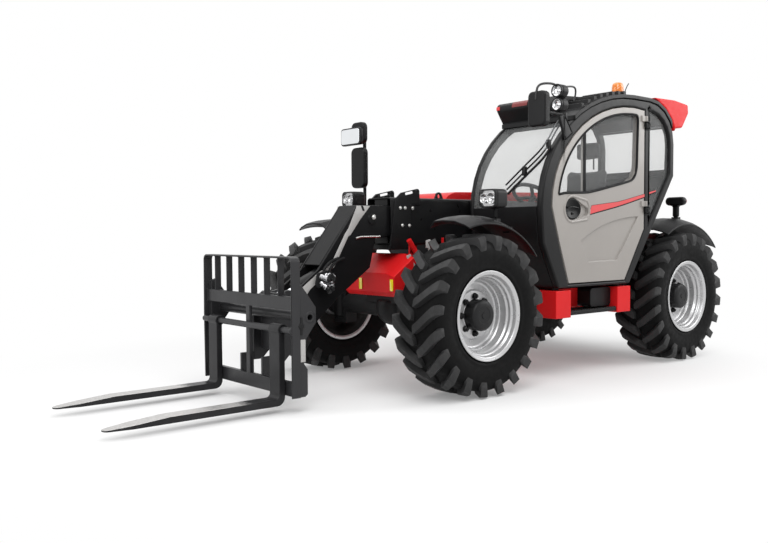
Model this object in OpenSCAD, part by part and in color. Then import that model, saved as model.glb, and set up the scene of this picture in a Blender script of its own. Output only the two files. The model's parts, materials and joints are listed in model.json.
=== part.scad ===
// Telescopic handler with a side cab, pallet forks and four steered wheels.
// Millimetres. X forward, Y to the left, Z up. The ground is at Z 0.

/* [Wheels] */
// Distance between the two axles
wheelbase = 2690; // [2600:10:2800]
// Distance between the middles of the left and right tyres
track = 1720; // [1690:5:1760]
// Tyre diameter over the tips of the lugs
tyre_d = 1190; // [1140:5:1220]
// Width of the tyre's section
tyre_w = 430; // [380:5:440]
// Number of tread lugs on each half of the tyre
lug_n = 20; // [16:1:24]
// Height of the tread lugs
lug_h = 38; // [28:1:44]
// How far the outer end of a lug trails the inner end, in degrees
lug_slant = 14; // [8:1:18]
// Thickness of the tyre's wall
tyre_wall = 32; // [24:1:45]
// Diameter of the rim over its flanges
rim_d = 660; // [620:5:690]
// Width of the rim over its flanges
rim_w = 394; // [350:2:400]
// Diameter of the hub cap
hub_cap_d = 226; // [190:2:250]
// Circle of the wheel studs
stud_pcd = 275; // [262:1:300]
// Number of wheel studs
stud_count = 8; // [6:1:10]

/* [Axles] */
// From the middle of the tyre in to the steering pivot
kingpin_inset = 140; // [130:2:160]
// Diameter of the steering pivot pins
kingpin_d = 50; // [40:1:60]
// Diameter of the axle tubes
axle_d = 170; // [140:5:180]
// Diameter of the wheel spindles
spindle_d = 120; // [100:2:140]

/* [Chassis] */
// Width over the two long frame plates
frame_w = 430; // [420:2:440]
// Thickness of the frame plates
frame_t = 25; // [16:1:30]
// Width of the nose
nose_w = 620; // [560:10:660]
// Width of the rear weight
weight_w = 540; // [460:10:560]

/* [Boom] */
// Width of the outer boom
boom_w = 300; // [280:2:310]
// Height of the outer boom
boom_h = 380; // [360:2:400]
// Wall of the outer boom
boom_wall = 12; // [8:1:16]
// Width of the inner boom
inner_w = 240; // [220:2:250]
// Height of the inner boom
inner_h = 245; // [230:1:260]
// Wall of the inner boom
inner_wall = 12; // [8:1:16]
// Diameter of the boom pivot pin
boom_pin_d = 80; // [60:2:90]
// Diameter of the carriage pivot pin
head_pin_d = 60; // [50:1:70]

/* [Cylinders] */
// Outer diameter of the lift cylinder
lift_d = 130; // [110:2:140]
// Diameter of the lift cylinder's rod
lift_rod_d = 70; // [55:1:80]
// Outer diameter of the tilt cylinder
tilt_d = 104; // [90:2:110]
// Diameter of the tilt cylinder's rod
tilt_rod_d = 55; // [45:1:60]

/* [Cab] */
// Inner side of the cab, beside the boom
cab_y0 = 228; // [226:1:240]
// Outer side of the cab
cab_y1 = 1000; // [960:5:1010]
// Height of the cab from its floor to the roof rail
cab_h = 1590; // [1560:5:1620]
// Depth of the cab's side frames
frame_side = 60; // [52:1:70]
// Thickness of the cab's wall panels
panel_t = 30; // [20:1:36]
// Thickness of the glass
glass_t = 8; // [5:1:10]
// Gap round the door
door_gap = 6; // [5:0.5:8]
// Gap between the front tyres and the front of the cab
cab_gap = 53; // [45:1:70]
// From the rear axle forward to the middle of the cab's arc
rear_bay = 810; // [790:5:850]
// From the front of the cab back to the front of the door
door_inset = 122; // [110:1:135]

/* [Engine cover] */
// Outer side of the engine cover
cover_y = 965; // [930:5:990]
// Top of the engine cover above the axles
cover_top = 1005; // [980:5:1020]
// Thickness of the cover's walls
cover_t = 15; // [10:1:20]

/* [Forks] */
// Length of the fork blades from the face of the shank
fork_l = 1180; // [1000:10:1250]
// Width of each fork
fork_w = 125; // [100:5:140]
// Thickness of each fork
fork_t = 45; // [40:1:55]
// From the end of the carriage to the middle of each fork
fork_inset = 178; // [170:2:240]
// Width of the carriage frame
carriage_w = 1200; // [1190:5:1240]
// Height of the backrest above the ground
backrest_z = 1045; // [1000:5:1120]
// Number of backrest bars between the ends
backrest_bars = 6; // [4:2:8]
// Diameter of the rod that carries the forks
fork_rod_d = 44; // [36:1:50]

/* [Hidden] */
$fn = 64;
fit = 0.06;           // radial play of a pin or a rod
seat_gap = 0.4;       // play between parts that only lie together
axle_z = tyre_d / 2;
front_x = wheelbase / 2;
rear_x = -wheelbase / 2;
wheel_y = track / 2;
king_y = wheel_y - kingpin_inset;

// heights that follow the axles
plate_in = frame_w / 2 - frame_t;
plate_out = frame_w / 2;
belly_z = axle_z - 75;
mount_z = axle_z + 105;
frame_top = axle_z + 405;
boom_z = axle_z + 695;
pivot_x = rear_x - 125;
boom_front = front_x + 155;
boom_bottom = boom_z - boom_h / 2;
boom_top = boom_z + boom_h / 2;

// lift cylinder
lift_base = [rear_x + 245, axle_z - 35];
lift_eye = [rear_x + 1245, axle_z + 380];
lift_len = norm(lift_eye - lift_base);
lift_ang = atan2(lift_eye[1] - lift_base[1], lift_eye[0] - lift_base[0]);
lift_pin_d = 60;
lift_eye_w = 76;

// head, carriage pivot and tilt cylinder
head_pin = [front_x + 1055, axle_z - 145];
tilt_base = [front_x + 415, axle_z + 455];
tilt_eye = [front_x + 1075, axle_z + 140];
tilt_len = norm(tilt_eye - tilt_base);
tilt_ang = atan2(tilt_eye[1] - tilt_base[1], tilt_eye[0] - tilt_base[0]);
tilt_pin_d = 50;
head_t = 20;
ear_y = inner_w / 2 + 10;
ear_t = 25;

// carriage frame and forks
frame_x = front_x + 1375;      // front face of the cross bars
bar_t = 25;
shank_x = frame_x + 5;         // rear face of the fork shanks
rod = [frame_x + 20, axle_z - 37];
hook = [front_x + 1247, axle_z + 44];
hook_d = 76;
fork_z = axle_z - 545;
fork_tip = shank_x + fork_t + fork_l;
side_y = carriage_w / 2;
fork_y = side_y - fork_inset;

// hinge of the engine hood, on posts beside the boom
hood_hinge_y = plate_out;
hood_hinge_z = axle_z + cover_top - 45;
fender_r = tyre_d / 2 + 145;
fender_t = 14;
fender_cz = axle_z - 10;
hood_z = fender_cz + fender_r + 10;
// top of a fender's dome and middle of its inner edge, at a distance from the axle
function fender_top(dx) = fender_cz + sqrt(fender_r * fender_r - dx * dx);
function fender_edge(dx) = fender_cz + sqrt(pow(fender_r - 57, 2) - dx * dx);
lamp_seat = fender_top(205) + 4;
mirror_seat = fender_top(375) + 17;
tail_seat = fender_top(130) + 21;
arm_z = fender_edge(390);
lamp_at = [[wheel_y + 40, 150], [-wheel_y + 70, 200]];   // head lamps: across, and above their seats
hood_post_x = [rear_x + 600, front_x - 1250];

// rear end and the shift that brings the middle of the whole to the origin
weight_x = rear_x - 645;
hitch_end = weight_x - 90;
mid_x = (fork_tip + hitch_end) / 2;

// cab outline
floor_z = axle_z + 155;
belt_z = axle_z + 805;
roof_z = floor_z + cab_h;
nose_x = front_x - tyre_d / 2 - cab_gap;
cab_cx = rear_x + rear_bay;
cab_nose = nose_x - cab_cx;
door_nose = cab_nose - door_inset;
wind_top = 48;        // where the windshield ends, as an angle on the cab's arc
hinge_x = cab_cx - 169;
hinge_y = cab_y1 + 14;
cab_rear = cab_cx - 645;
right_t = 40;
beam_l = 190;
beam_x = [cab_cx + 35, nose_x - 367];
tank_x = beam_x[0] + beam_l + 0.45 * (beam_x[1] - beam_x[0] - beam_l);
in_y0 = cab_y0 + right_t;
in_y1 = cab_y1 - frame_side;

// An elliptic arc as a list of points
function arc(cx, cz, a, b, t0, t1, n) =
    [for (i = [0:n]) let (t = t0 + (t1 - t0) * i / n) [cx + a * cos(t), cz + b * sin(t)]];

// A rectangle with round corners, about the origin
function rounded(w, h, r, n = 4) = concat(
    arc(w / 2 - r, h / 2 - r, r, r, 0, 90, n), arc(-w / 2 + r, h / 2 - r, r, r, 90, 180, n),
    arc(-w / 2 + r, -h / 2 + r, r, r, 180, 270, n), arc(w / 2 - r, -h / 2 + r, r, r, 270, 360, n));

// A soft curve from a to c, drawn towards b
function curve(a, b, c, n) =
    [for (i = [0:n]) let (t = i / n) (1 - t) * (1 - t) * a + 2 * t * (1 - t) * b + t * t * c];

// A flat outline in X and Z, drawn out from y0 to y1
module slab(y0, y1) { translate([0, y1, 0]) rotate([90, 0, 0]) linear_extrude(y1 - y0) children(); }

// A flat outline in Y and Z, drawn out from x0 to x1
module run(x0, x1) { translate([x0, 0, 0]) rotate([90, 0, 90]) linear_extrude(x1 - x0) children(); }

// A round bar along Y through a point [x, z]
module bar_y(p, d, y0, y1) { translate([p[0], y0, p[1]]) rotate([-90, 0, 0]) cylinder(d = d, h = y1 - y0); }

// A box from one corner to the other
module box(a, b) { translate(a) cube(b - a); }

// The same thing on the left and on the right
module pair() { children(); mirror([0, 1, 0]) children(); }

// From the machine's own frame to the shared frame
module placed() { translate([-mid_x, 0, 0]) children(); }

// Turn a child drawn along X up into a cylinder's direction
module along(p, a) { translate([p[0], 0, p[1]]) rotate([0, -a, 0]) children(); }

// Chassis

module frame_side_plate() {
    difference() {
        polygon(concat(
            [[front_x - 240, mount_z], [front_x + 222, mount_z], [front_x + 259, mount_z + 37],
             [front_x + 266, axle_z + 288], [front_x + 60, axle_z + 436], [front_x - 15, axle_z + 436],
             [front_x - 190, frame_top],
             [rear_x + 560, frame_top], [rear_x + 90, boom_z - 40]],
            arc(pivot_x, boom_z, 110, 110, 20, 180, 8),
            [[rear_x - 330, frame_top], [weight_x + 300, axle_z + 320], [weight_x + 300, mount_z],
             [rear_x + 150, mount_z], [rear_x + 150, belly_z], [front_x - 420, belly_z]]));
        translate([front_x - 880, axle_z + 170]) circle(d = 180);
    }
}

// closed nose with a sloping top and cut upper corners, open at the back
module nose() {
    difference() {
        slab(-nose_w / 2, nose_w / 2) polygon([[front_x + 60, mount_z], [front_x + 225, mount_z],
            [front_x + 262, mount_z + 35], [front_x + 270, axle_z + 290], [front_x + 60, axle_z + 440]]);
        slab(-nose_w / 2 + frame_t, nose_w / 2 - frame_t) polygon([[front_x + 50, mount_z + 25],
            [front_x + 238, mount_z + 25], [front_x + 248, axle_z + 272], [front_x + 50, axle_z + 413]]);
        pair() translate([front_x + 270, nose_w / 2 - 100, axle_z + 290]) rotate([0, atan2(150, 210), 0])
            rotate([-13, 0, 0]) translate([-400, 0, 0]) cube([500, 200, 100]);
    }
}

module chassis_frame() color([0.72, 0.05, 0.06]) {
    pair() slab(plate_in, plate_out) frame_side_plate();
    // belly, axle saddles and rear cross plate
    box([rear_x + 420, -plate_in, belly_z], [front_x - 430, plate_in, belly_z + 20]);
    box([front_x - 130, -plate_in, mount_z], [front_x + 200, plate_in, mount_z + 25]);
    box([rear_x - 130, -plate_in, mount_z], [rear_x + 130, plate_in, mount_z + 25]);
    box([weight_x + 300, -plate_in, mount_z], [weight_x + 325, plate_in, axle_z + 300]);
    nose();
    // posts that carry the fenders
    pair() box([front_x - 430, plate_in, frame_top - 10], [front_x - 350, plate_out, arm_z + 10]);
    // posts with the pins of the engine hood
    for (x = hood_post_x) {
        box([x, -plate_out, frame_top - 10], [x + 60, -plate_in, hood_hinge_z]);
        translate([x, -hood_hinge_y, hood_hinge_z]) rotate([0, 90, 0]) {
            cylinder(d = 22, h = 60);
            cylinder(d = 10, h = 100);
        }
    }
    // cross beams under the cab and the engine
    for (x = beam_x) {
        box([x, plate_out - 5, belly_z - 10], [x + beam_l, cab_y1, floor_z - 20]);
        box([x, -cover_y, belly_z - 10], [x + beam_l, -plate_out + 5, floor_z - 20]);
    }
    // wall behind the front half of the step
    box([tank_x + seat_gap, cab_y1 - 215, belly_z + 45], [beam_x[1] + 5, cab_y1 - 200, floor_z - 25]);
    // pivot pin of the boom, and pin and ears of the lift cylinder
    bar_y([pivot_x, boom_z], boom_pin_d, -plate_in, plate_in);
    bar_y(lift_base, lift_pin_d, -plate_in, plate_in);
    pair() slab(plate_in - 70, plate_in) translate(lift_base) circle(d = 150);
}

module rear_weight() color([0.10, 0.10, 0.11]) {
    difference() {
        union() {
            slab(-weight_w / 2, weight_w / 2) polygon([[weight_x, axle_z - 40], [weight_x, axle_z + 260],
                [weight_x + 70, axle_z + 330], [weight_x + 300, axle_z + 330], [weight_x + 300, axle_z - 120],
                [weight_x + 90, axle_z - 120]]);
            // towing jaw
            for (z = [axle_z - 20, axle_z + 70])
                box([hitch_end, -70, z], [weight_x + 20, 70, z + 25]);
        }
        translate([hitch_end + 40, 0, axle_z - 60]) cylinder(d = 32, h = 200);
    }
}

module engine_block() color([0.25, 0.26, 0.28])
    box([beam_x[0] + beam_l + 5, -780, belly_z + 90], [beam_x[1] - 5, -plate_out, axle_z + 560]);

module engine_panels() color([0.09, 0.09, 0.10]) {
    x0 = rear_x + 785;
    x1 = front_x - 785;
    difference() {
        box([x0, -cover_y, axle_z + 135], [x1, -plate_out - 20, hood_z - 6]);
        box([x0 + cover_t, -cover_y + cover_t, axle_z + 100], [x1 - cover_t, 0, hood_z + 50]);
        for (i = [0:8]) box([x0 + 240, -cover_y - 1, axle_z + 255 + i * 45],
            [x1 - 300, -cover_y + cover_t + 1, axle_z + 275 + i * 45]);
    }
}

module tank_box() color([0.10, 0.10, 0.11])
    slab(plate_out, cab_y1 - 70) polygon([for (p = rounded(tank_x - beam_x[0] - beam_l, 160, 30))
        p + [(beam_x[0] + beam_l + tank_x) / 2, axle_z + 52]]);

module step() color([0.13, 0.13, 0.14]) {
    x0 = beam_x[0] + beam_l;
    x1 = beam_x[1];
    difference() {
        box([x0, cab_y1 - 190, belly_z + 5], [x1, cab_y1 - 10, belly_z + 35]);
        for (x = [x0 + 60 : 90 : x1 - 90], y = [cab_y1 - 160, cab_y1 - 80])
            box([x, y, belly_z], [x + 50, y + 40, belly_z + 40]);
    }
}

// Cab

function cab_out(g) = concat(
    arc(cab_cx, belt_z, cab_nose - g, roof_z - belt_z - g, 0, 90, 12),
    arc(cab_rear + 400, roof_z - 350, 400 - g, 350 - g, 90, 180, 5),
    [[cab_rear + g, axle_z + 1105 + 0.35 * g], [cab_cx + 45 + 0.5 * g, floor_z + g],
     [nose_x - 212 - 0.6 * g, floor_z + g], [nose_x - 22 - g, axle_z + 520]]);

function door_out(g) = let (t1 = acos((hinge_x + g - cab_cx) / (door_nose - g))) concat(
    arc(cab_cx, belt_z, door_nose - g, roof_z - belt_z - 72 - g, 0, t1, 12),
    [[hinge_x + g, axle_z + 626], [cab_cx + 120 + g, floor_z + 30 + g],
     [nose_x - 335 - g, floor_z + 30 + g], [nose_x - 227 - g, axle_z + 486]]);

function door_win(g) = let (t1 = acos((hinge_x + 104 + g - cab_cx) / (door_nose - 75 - g))) concat(
    arc(cab_cx, belt_z, door_nose - 75 - g, roof_z - belt_z - 134 - g, 6 + g / 8, t1, 10),
    [[hinge_x + 119 + g, axle_z + 1165], [hinge_x + 164 + g, axle_z + 1075 + g],
     [hinge_x + 254, axle_z + 1030 + g], [nose_x - 610, axle_z + 927 + g],
     [nose_x - 295 - g, axle_z + 912 + g]]);

function quarter(g) = concat(
    [[hinge_x - 71 - g, roof_z - 75 - g]],
    arc(cab_rear + 400, roof_z - 350, 330 - g, 275 - g, 100, 180, 5),
    [[cab_rear + 70 + g, axle_z + 1127 + g], [hinge_x - 71 - g, axle_z + 668 + 2 * g]]);

function right_win(g) = concat(
    arc(cab_cx, belt_z, cab_nose - 90 - g, roof_z - belt_z - 90 - g, 4 + g / 8, 90, 10),
    arc(cab_rear + 400, roof_z - 350, 310 - g, 260 - g, 90, 180, 4),
    [[cab_rear + 90 + g, belt_z + 80 + g]]);

// the band between two cab outlines, over the width inside the cab
module cab_band(g0, g1) {
    slab(in_y0, in_y1) difference() { polygon(cab_out(g0)); polygon(cab_out(g1)); }
}

module cab_tub() color([0.12, 0.12, 0.13]) {
    intersection() {
        cab_band(0, panel_t);
        union() {
            box([cab_cx, 0, floor_z - 10], [nose_x + 10, cab_y1, belt_z]);
            box([cab_rear - 50, 0, floor_z - 10], [cab_cx, cab_y1, axle_z + 1105]);
        }
    }
    // rubber feet on the cross beams
    for (x = [beam_x[0] + 55, beam_x[1] + 55], y = [in_y0 + 40, in_y1 - 100])
        box([x, y, floor_z - 20], [x + 80, y + 80, floor_z + 2]);
}

module cab_frame() color([0.08, 0.08, 0.09]) {
    slab(in_y1, cab_y1) difference() { polygon(cab_out(0)); polygon(door_out(0)); polygon(quarter(0)); }
    slab(cab_y0, in_y0) difference() { polygon(cab_out(0)); polygon(right_win(0)); }
    // cross members: rear sill, rear header, front header
    intersection() {
        cab_band(0, 50);
        union() {
            box([cab_rear - 50, 0, axle_z + 1105], [cab_rear + 300, cab_y1, axle_z + 1170]);
            box([cab_rear - 50, 0, roof_z - 190], [cab_rear + 180, cab_y1, roof_z]);
            box([cab_cx + cab_nose * cos(wind_top + 8.5), 0, belt_z],
                [cab_cx + cab_nose * cos(wind_top + 1), cab_y1, roof_z]);
        }
    }
    // lower parts of the door hinges
    for (z = [axle_z + 760, axle_z + 1500]) {
        translate([hinge_x, hinge_y, z]) cylinder(d = 26, h = 60);
        box([hinge_x - 60, cab_y1 - 2, z], [hinge_x, hinge_y, z + 60]);
        translate([hinge_x, hinge_y, z + 60]) cylinder(d = 12, h = 40);
    }
}

module windshield() color([0.16, 0.19, 0.21]) {
    slab(in_y0 + seat_gap, in_y1 - seat_gap) polygon(concat(
        arc(cab_cx, belt_z, cab_nose - 12, roof_z - belt_z - 12, 0.02, wind_top, 12),
        arc(cab_cx, belt_z, cab_nose - 12 - glass_t, roof_z - belt_z - 12 - glass_t, wind_top, 0.02, 12)));
}

module cab_glass() color([0.14, 0.16, 0.18]) {
    slab(cab_y0 + 16, cab_y0 + 16 + glass_t) polygon(right_win(seat_gap));
    slab(cab_y1 - 35, cab_y1 - 35 + glass_t) polygon(quarter(seat_gap));
    intersection() {
        slab(in_y0 + seat_gap, in_y1 - seat_gap) difference() {
            polygon(cab_out(10));
            polygon(cab_out(10 + glass_t));
        }
        box([cab_rear - 10, 0, axle_z + 1170 + seat_gap], [cab_rear + 300, cab_y1, roof_z - 190 - seat_gap]);
    }
}

module roof() color([0.07, 0.07, 0.08]) {
    front = cab_cx + (cab_nose + 32) * cos(wind_top + 1);
    intersection() {
        slab(cab_y0 - 2, cab_y1 + 6) difference() { polygon(cab_out(-32)); polygon(cab_out(-seat_gap)); }
        box([cab_rear + 40, 0, axle_z + 1400], [front, cab_y1 + 20, roof_z + 60]);
    }
    // visor over the windshield
    slab(cab_y0 - 2, cab_y1 - 250) polygon(concat(
        arc(cab_cx, belt_z, cab_nose + 16, roof_z - belt_z + 16, wind_top + 1.5, 72, 5),
        [[cab_cx + 400, roof_z + 8], [front - 160, roof_z - 6]],
        arc(front + 22, roof_z - 82, 44, 46, 80, -40, 5)));
    // slatted guard along the outer edge
    for (i = [0:7]) let (x = cab_cx + 90 + i * (front - cab_cx - 160) / 8,
        k = (x + 30 - cab_cx) / (cab_nose + 32))
        box([x, cab_y1 - 260, belt_z + (roof_z - belt_z) * sqrt(1 - k * k) + 10],
            [x + 40, cab_y1 - 20, belt_z + (roof_z - belt_z) * sqrt(1 - k * k) + 62]);
}

module roof_fairing() color([0.72, 0.05, 0.06])
    slab(cab_y1 - 110, cab_y1 + 6) polygon(concat(
        arc(cab_rear + 400, roof_z - 350, 432 + seat_gap, 382 + seat_gap, 108, 162, 3),
        [[cab_rear - 20, roof_z - 200], [cab_rear - 130, roof_z - 190], [cab_rear - 235, roof_z - 50],
         [cab_rear - 225, roof_z + 30], [cab_rear, roof_z + 52], [cab_rear + 320, roof_z + 45]]));

module seat() color([0.10, 0.10, 0.11]) {
    y = (in_y0 + in_y1) / 2;
    x = cab_cx + 200;
    box([x, y - 190, floor_z + panel_t], [x + 380, y + 190, floor_z + 335]);
    slab(y - 240, y + 240) polygon([for (p = rounded(500, 110, 40)) p + [x + 200, floor_z + 385]]);
    slab(y - 225, y + 225) polygon([[x - 40, floor_z + 400], [x + 70, floor_z + 400],
        [x - 30, floor_z + 980], [x - 80, floor_z + 1040], [x - 130, floor_z + 980]]);
    // headrest on two stems
    for (s = [-60, 60]) translate([x - 92, y + s, floor_z + 1000]) cylinder(d = 14, h = 110);
    slab(y - 125, y + 125) polygon([for (p = rounded(90, 160, 35)) p + [x - 97, floor_z + 1165]]);
}

module controls() color([0.09, 0.09, 0.10]) {
    y = (in_y0 + in_y1) / 2;
    slab(in_y0, in_y1 - 40) polygon([[nose_x - 282, belt_z - 150], [nose_x - 160, belt_z - 190],
        [nose_x - 66, belt_z - 190], [nose_x - 52, belt_z], [nose_x - 112, belt_z + 40],
        [nose_x - 282, belt_z + 10]]);
    translate([nose_x - 372, y, belt_z + 90]) rotate([0, -35, 0]) {
        rotate_extrude() translate([175, 0]) circle(r = 16);
        translate([0, 0, -190]) cylinder(d = 50, h = 200);
        for (a = [30, 150, 270]) rotate(a) translate([0, -14, -12]) cube([172, 28, 14]);
    }
}

// Fenders, lamps and mirrors

// a domed fender: a section turned about the axle and cut to its angles
module arch(x, t0, t1) {
    w = tyre_w / 2;
    dome = [[-50, -w + 10], [-6, -w + 65], [0, -w + 155], [-6, w - 155], [-34, w - 65], [-58, w - 20]];
    intersection() {
        translate([x, wheel_y, fender_cz]) wheel_turn($fn = 240) polygon(concat(
            [for (p = dome) p + [fender_r, 0]],
            [for (i = [len(dome) - 1:-1:0]) dome[i] + [fender_r - fender_t, 0]]));
        slab(wheel_y - w, wheel_y + w) polygon(concat([[x, fender_cz]],
            arc(x, fender_cz, 2 * fender_r, 2 * fender_r, t0, t1, 6)));
    }
}

module front_fenders() color([0.09, 0.09, 0.10]) {
    pair() {
        arch(front_x, 72, 141);
        box([front_x - 425, plate_out, arm_z - 25], [front_x - 355, wheel_y - tyre_w / 2 + 25, arm_z + 10]);
        // seat of the mirror arm
        box([front_x - 425, wheel_y - 20, mirror_seat - 50], [front_x - 375, wheel_y + 40, mirror_seat]);
    }
    // seats of the head lamps
    for (p = lamp_at) box([front_x - 255, p[0] - 30, lamp_seat - 35], [front_x - 205, p[0] + 30, lamp_seat]);
}

module rear_fenders() color([0.09, 0.09, 0.10]) pair() {
    arch(rear_x, 60, 138);
    box([rear_x - 130, plate_out, fender_edge(90) - 35],
        [rear_x - 50, wheel_y - tyre_w / 2 + 25, fender_edge(90) + 3]);
    // seat of the tail lamp
    box([rear_x - 155, wheel_y - 45, tail_seat - 35], [rear_x - 105, wheel_y + 25, tail_seat]);
}

module head_lamp(x, y, z) {
    translate([x, y, lamp_seat + z]) {
        run(-60, 60) polygon(rounded(170, 140, 35));
        translate([-30, -15, -z]) cube([30, 30, z - 50]);
    }
}

// front edge of the cab's side at a height above the belt
function pillar_x(z) = cab_cx + cab_nose * sqrt(1 - pow((z - belt_z) / (roof_z - belt_z), 2));

module lamps() color([0.15, 0.15, 0.16]) {
    for (p = lamp_at) head_lamp(front_x - 215, p[0], p[1]);
    // tail lamps on posts above the rear fenders
    for (s = [1, -1]) translate([rear_x - 130, s * (wheel_y - 10), 0]) {
        run(-30, 30) polygon([for (p = rounded(200, 80, 38)) p + [0, tail_seat + 150]]);
        box([-20, -30, tail_seat], [20, 30, tail_seat + 120]);
    }
    // two work lamps beside the front pillar
    for (z = [roof_z - 45, roof_z - 152])
        translate([nose_x - 247, cab_y1 + 15, z]) rotate([0, 90, 0]) cylinder(d = 104, h = 80);
    slab(cab_y1, cab_y1 + 14) polygon([[pillar_x(roof_z - 360) - 100, roof_z - 360],
        [pillar_x(roof_z - 425) - 70, roof_z - 425], [nose_x - 187, roof_z - 240],
        [nose_x - 187, roof_z - 30], [nose_x - 247, roof_z - 30], [nose_x - 257, roof_z - 220]]);
}

module beacon() color([0.95, 0.45, 0.05])
    translate([cab_cx + 25, cab_y1 - 150, roof_z + 32]) {
        cylinder(d = 110, h = 50);
        translate([0, 0, 50]) cylinder(d1 = 100, d2 = 84, h = 75);
    }

module mirrors() color([0.08, 0.08, 0.09]) {
    // left: a box mirror on an arm from the front pillar
    translate([nose_x + 23, wheel_y + tyre_w / 2 - 90, roof_z - 200])
        run(-35, 35) polygon(rounded(170, 270, 40));
    translate([nose_x - 212, cab_y1 + 26, roof_z - 225]) rotate([0, 90, 0]) cylinder(d = 24, h = 215);
    // right: a tall mirror with a wide-angle one above, on a bent arm from the fender
    translate([front_x - 340, -wheel_y - 10, axle_z + 1200]) run(-30, 30) polygon(rounded(190, 370, 50));
    translate([front_x - 340, -wheel_y - 10, axle_z + 1515]) run(-30, 30) polygon(rounded(180, 200, 50));
    translate([front_x - 400, -wheel_y - 10, mirror_seat]) cylinder(d = 30, h = axle_z + 1620 - mirror_seat);
    for (z = [axle_z + 1200, axle_z + 1515])
        translate([front_x - 400, -wheel_y - 10, z]) rotate([0, 90, 0]) cylinder(d = 24, h = 50);
}

// Axles, knuckles and wheels

module axle(x) {
    bar_y([x, axle_z], axle_d, -king_y + 130, king_y - 130);
    // differential housing, flat on top under the frame
    difference() {
        translate([x, 0, axle_z]) sphere(r = 150);
        box([x - 200, -200, axle_z + 60], [x + 200, 200, axle_z + 200]);
    }
    box([x - 110, -plate_out, axle_z + 40], [x + 110, plate_out, mount_z]);
    pair() difference() {
        union() {
            for (s = [-1, 1]) translate([x, 0, axle_z + s * 150]) {
                translate([0, king_y, -20]) cylinder(d = 120, h = 40);
                translate([-60, king_y - 140, -20]) cube([120, 140, 40]);
            }
            box([x - 60, king_y - 150, axle_z - 170], [x + 60, king_y - 100, axle_z + 170]);
        }
        translate([x, king_y, axle_z - 200]) cylinder(d = kingpin_d + 2 * fit, h = 400);
    }
}

module knuckle() {
    translate([0, 0, -124]) cylinder(d = 116, h = 248);
    translate([0, 0, -165]) cylinder(d = kingpin_d, h = 330);
    bar_y([0, 0], 210, 20, kingpin_inset - 70);
    bar_y([0, 0], spindle_d, 0, kingpin_inset + 70);
    // steering arm
    translate([-190, -30, -60]) cube([190, 60, 30]);
}

// turns a profile drawn as [radius, offset outward] about the wheel's axis
module wheel_turn() { rotate([-90, 0, 0]) rotate_extrude() children(); }

module rim() {
    fr = rim_d / 2;
    fw = rim_w / 2;
    wheel_turn() polygon([
        [fr, fw], [fr, fw - 10], [fr - 24, fw - 14], [fr - 28, fw - 60], [fr - 50, fw - 80],
        [fr - 62, 20], [fr - 62, -20], [fr - 50, -fw + 80], [fr - 28, -fw + 60], [fr - 24, -fw + 14],
        [fr, -fw + 10], [fr, -fw], [fr - 34, -fw + 4], [fr - 40, -fw + 62], [fr - 62, -fw + 86],
        [fr - 74, -26], [fr - 90, 4], [spindle_d / 2 + 60, 4], [spindle_d / 2 + 60, -62],
        [spindle_d / 2 + fit, -62], [spindle_d / 2 + fit, kingpin_inset - 64],
        [0, kingpin_inset - 64], [0, 140], [hub_cap_d / 2 - 14, 140], [hub_cap_d / 2, 122],
        [hub_cap_d / 2, 42], [stud_pcd / 2 + 40, 42], [stud_pcd / 2 + 48, 30], [fr - 96, 22],
        [fr - 82, 30], [fr - 80, 54], [fr - 68, 62], [fr - 65, fw - 86], [fr - 52, fw - 72],
        [fr - 50, fw - 50], [fr - 38, fw - 44], [fr - 34, fw - 4]]);
    for (i = [0:stud_count - 1]) rotate([0, i * 360 / stud_count, 0])
        translate([stud_pcd / 2, 40, 0]) rotate([-90, 0, 0]) cylinder(d = 26, h = 24);
}

// One closed skin with the lugs in it. Each ring across the section gives a radius and a place in the
// grooves, a radius and a place on the lugs, and a turn. Every lug has four points: foot, top, top, foot.
module tyre() {
    tip = tyre_d / 2;
    base = tip - lug_h;
    w = tyre_w / 2;
    pitch = 360 / lug_n;
    place = [0.1, 0.2, 0.5, 0.6] * pitch;
    bead = (rim_d / 2 - 24.6 + seat_gap) / cos(pitch / 4);
    rw = rim_w / 2 - 21;
    half = [[bead, rw, bead, rw, -lug_slant], [bead + 135, w - 6, bead + 135, w - 6, -lug_slant],
        [base - 30, w - 24, tip - 16, w, -lug_slant], [base, 14, tip, 10, 0]];
    rings = concat(half, [[base, 0, base, 0, pitch / 4]],
        [for (i = [3:-1:0]) let (h = half[i]) [h[0], -h[1], h[2], -h[3], h[4] + pitch / 2]]);
    n = 4 * lug_n;
    m = len(rings);
    difference() {
        polyhedron(
            points = [for (g = rings, k = [0:n - 1]) let (c = k % 4, top = c == 1 || c == 2,
                a = floor(k / 4) * pitch + place[c] + g[4], r = top ? g[2] : g[0])
                [r * sin(a), top ? g[3] : g[1], r * cos(a)]],
            faces = [for (j = [0:m - 1], k = [0:n - 1]) let (j1 = (j + 1) % m, k1 = (k + 1) % n)
                each [[j * n + k, j * n + k1, j1 * n + k1], [j * n + k, j1 * n + k1, j1 * n + k]]]);
        wheel_turn() polygon([[bead + 16, rw - 40], [bead + 120, w - tyre_wall - 12],
            [base - tyre_wall - 34, w - tyre_wall - 50], [base - tyre_wall, 0],
            [base - tyre_wall - 34, -w + tyre_wall + 50], [bead + 120, -w + tyre_wall + 12],
            [bead + 16, -rw + 40]]);
    }
}

// puts a wheel-side piece at one corner, outward along its own side
module corner(x, s) { translate([x, 0, axle_z]) mirror([0, s < 0 ? 1 : 0, 0]) children(); }
module at_king() { translate([0, king_y, 0]) children(); }
module at_wheel() { translate([0, wheel_y, 0]) children(); }

// Engine hood

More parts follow.
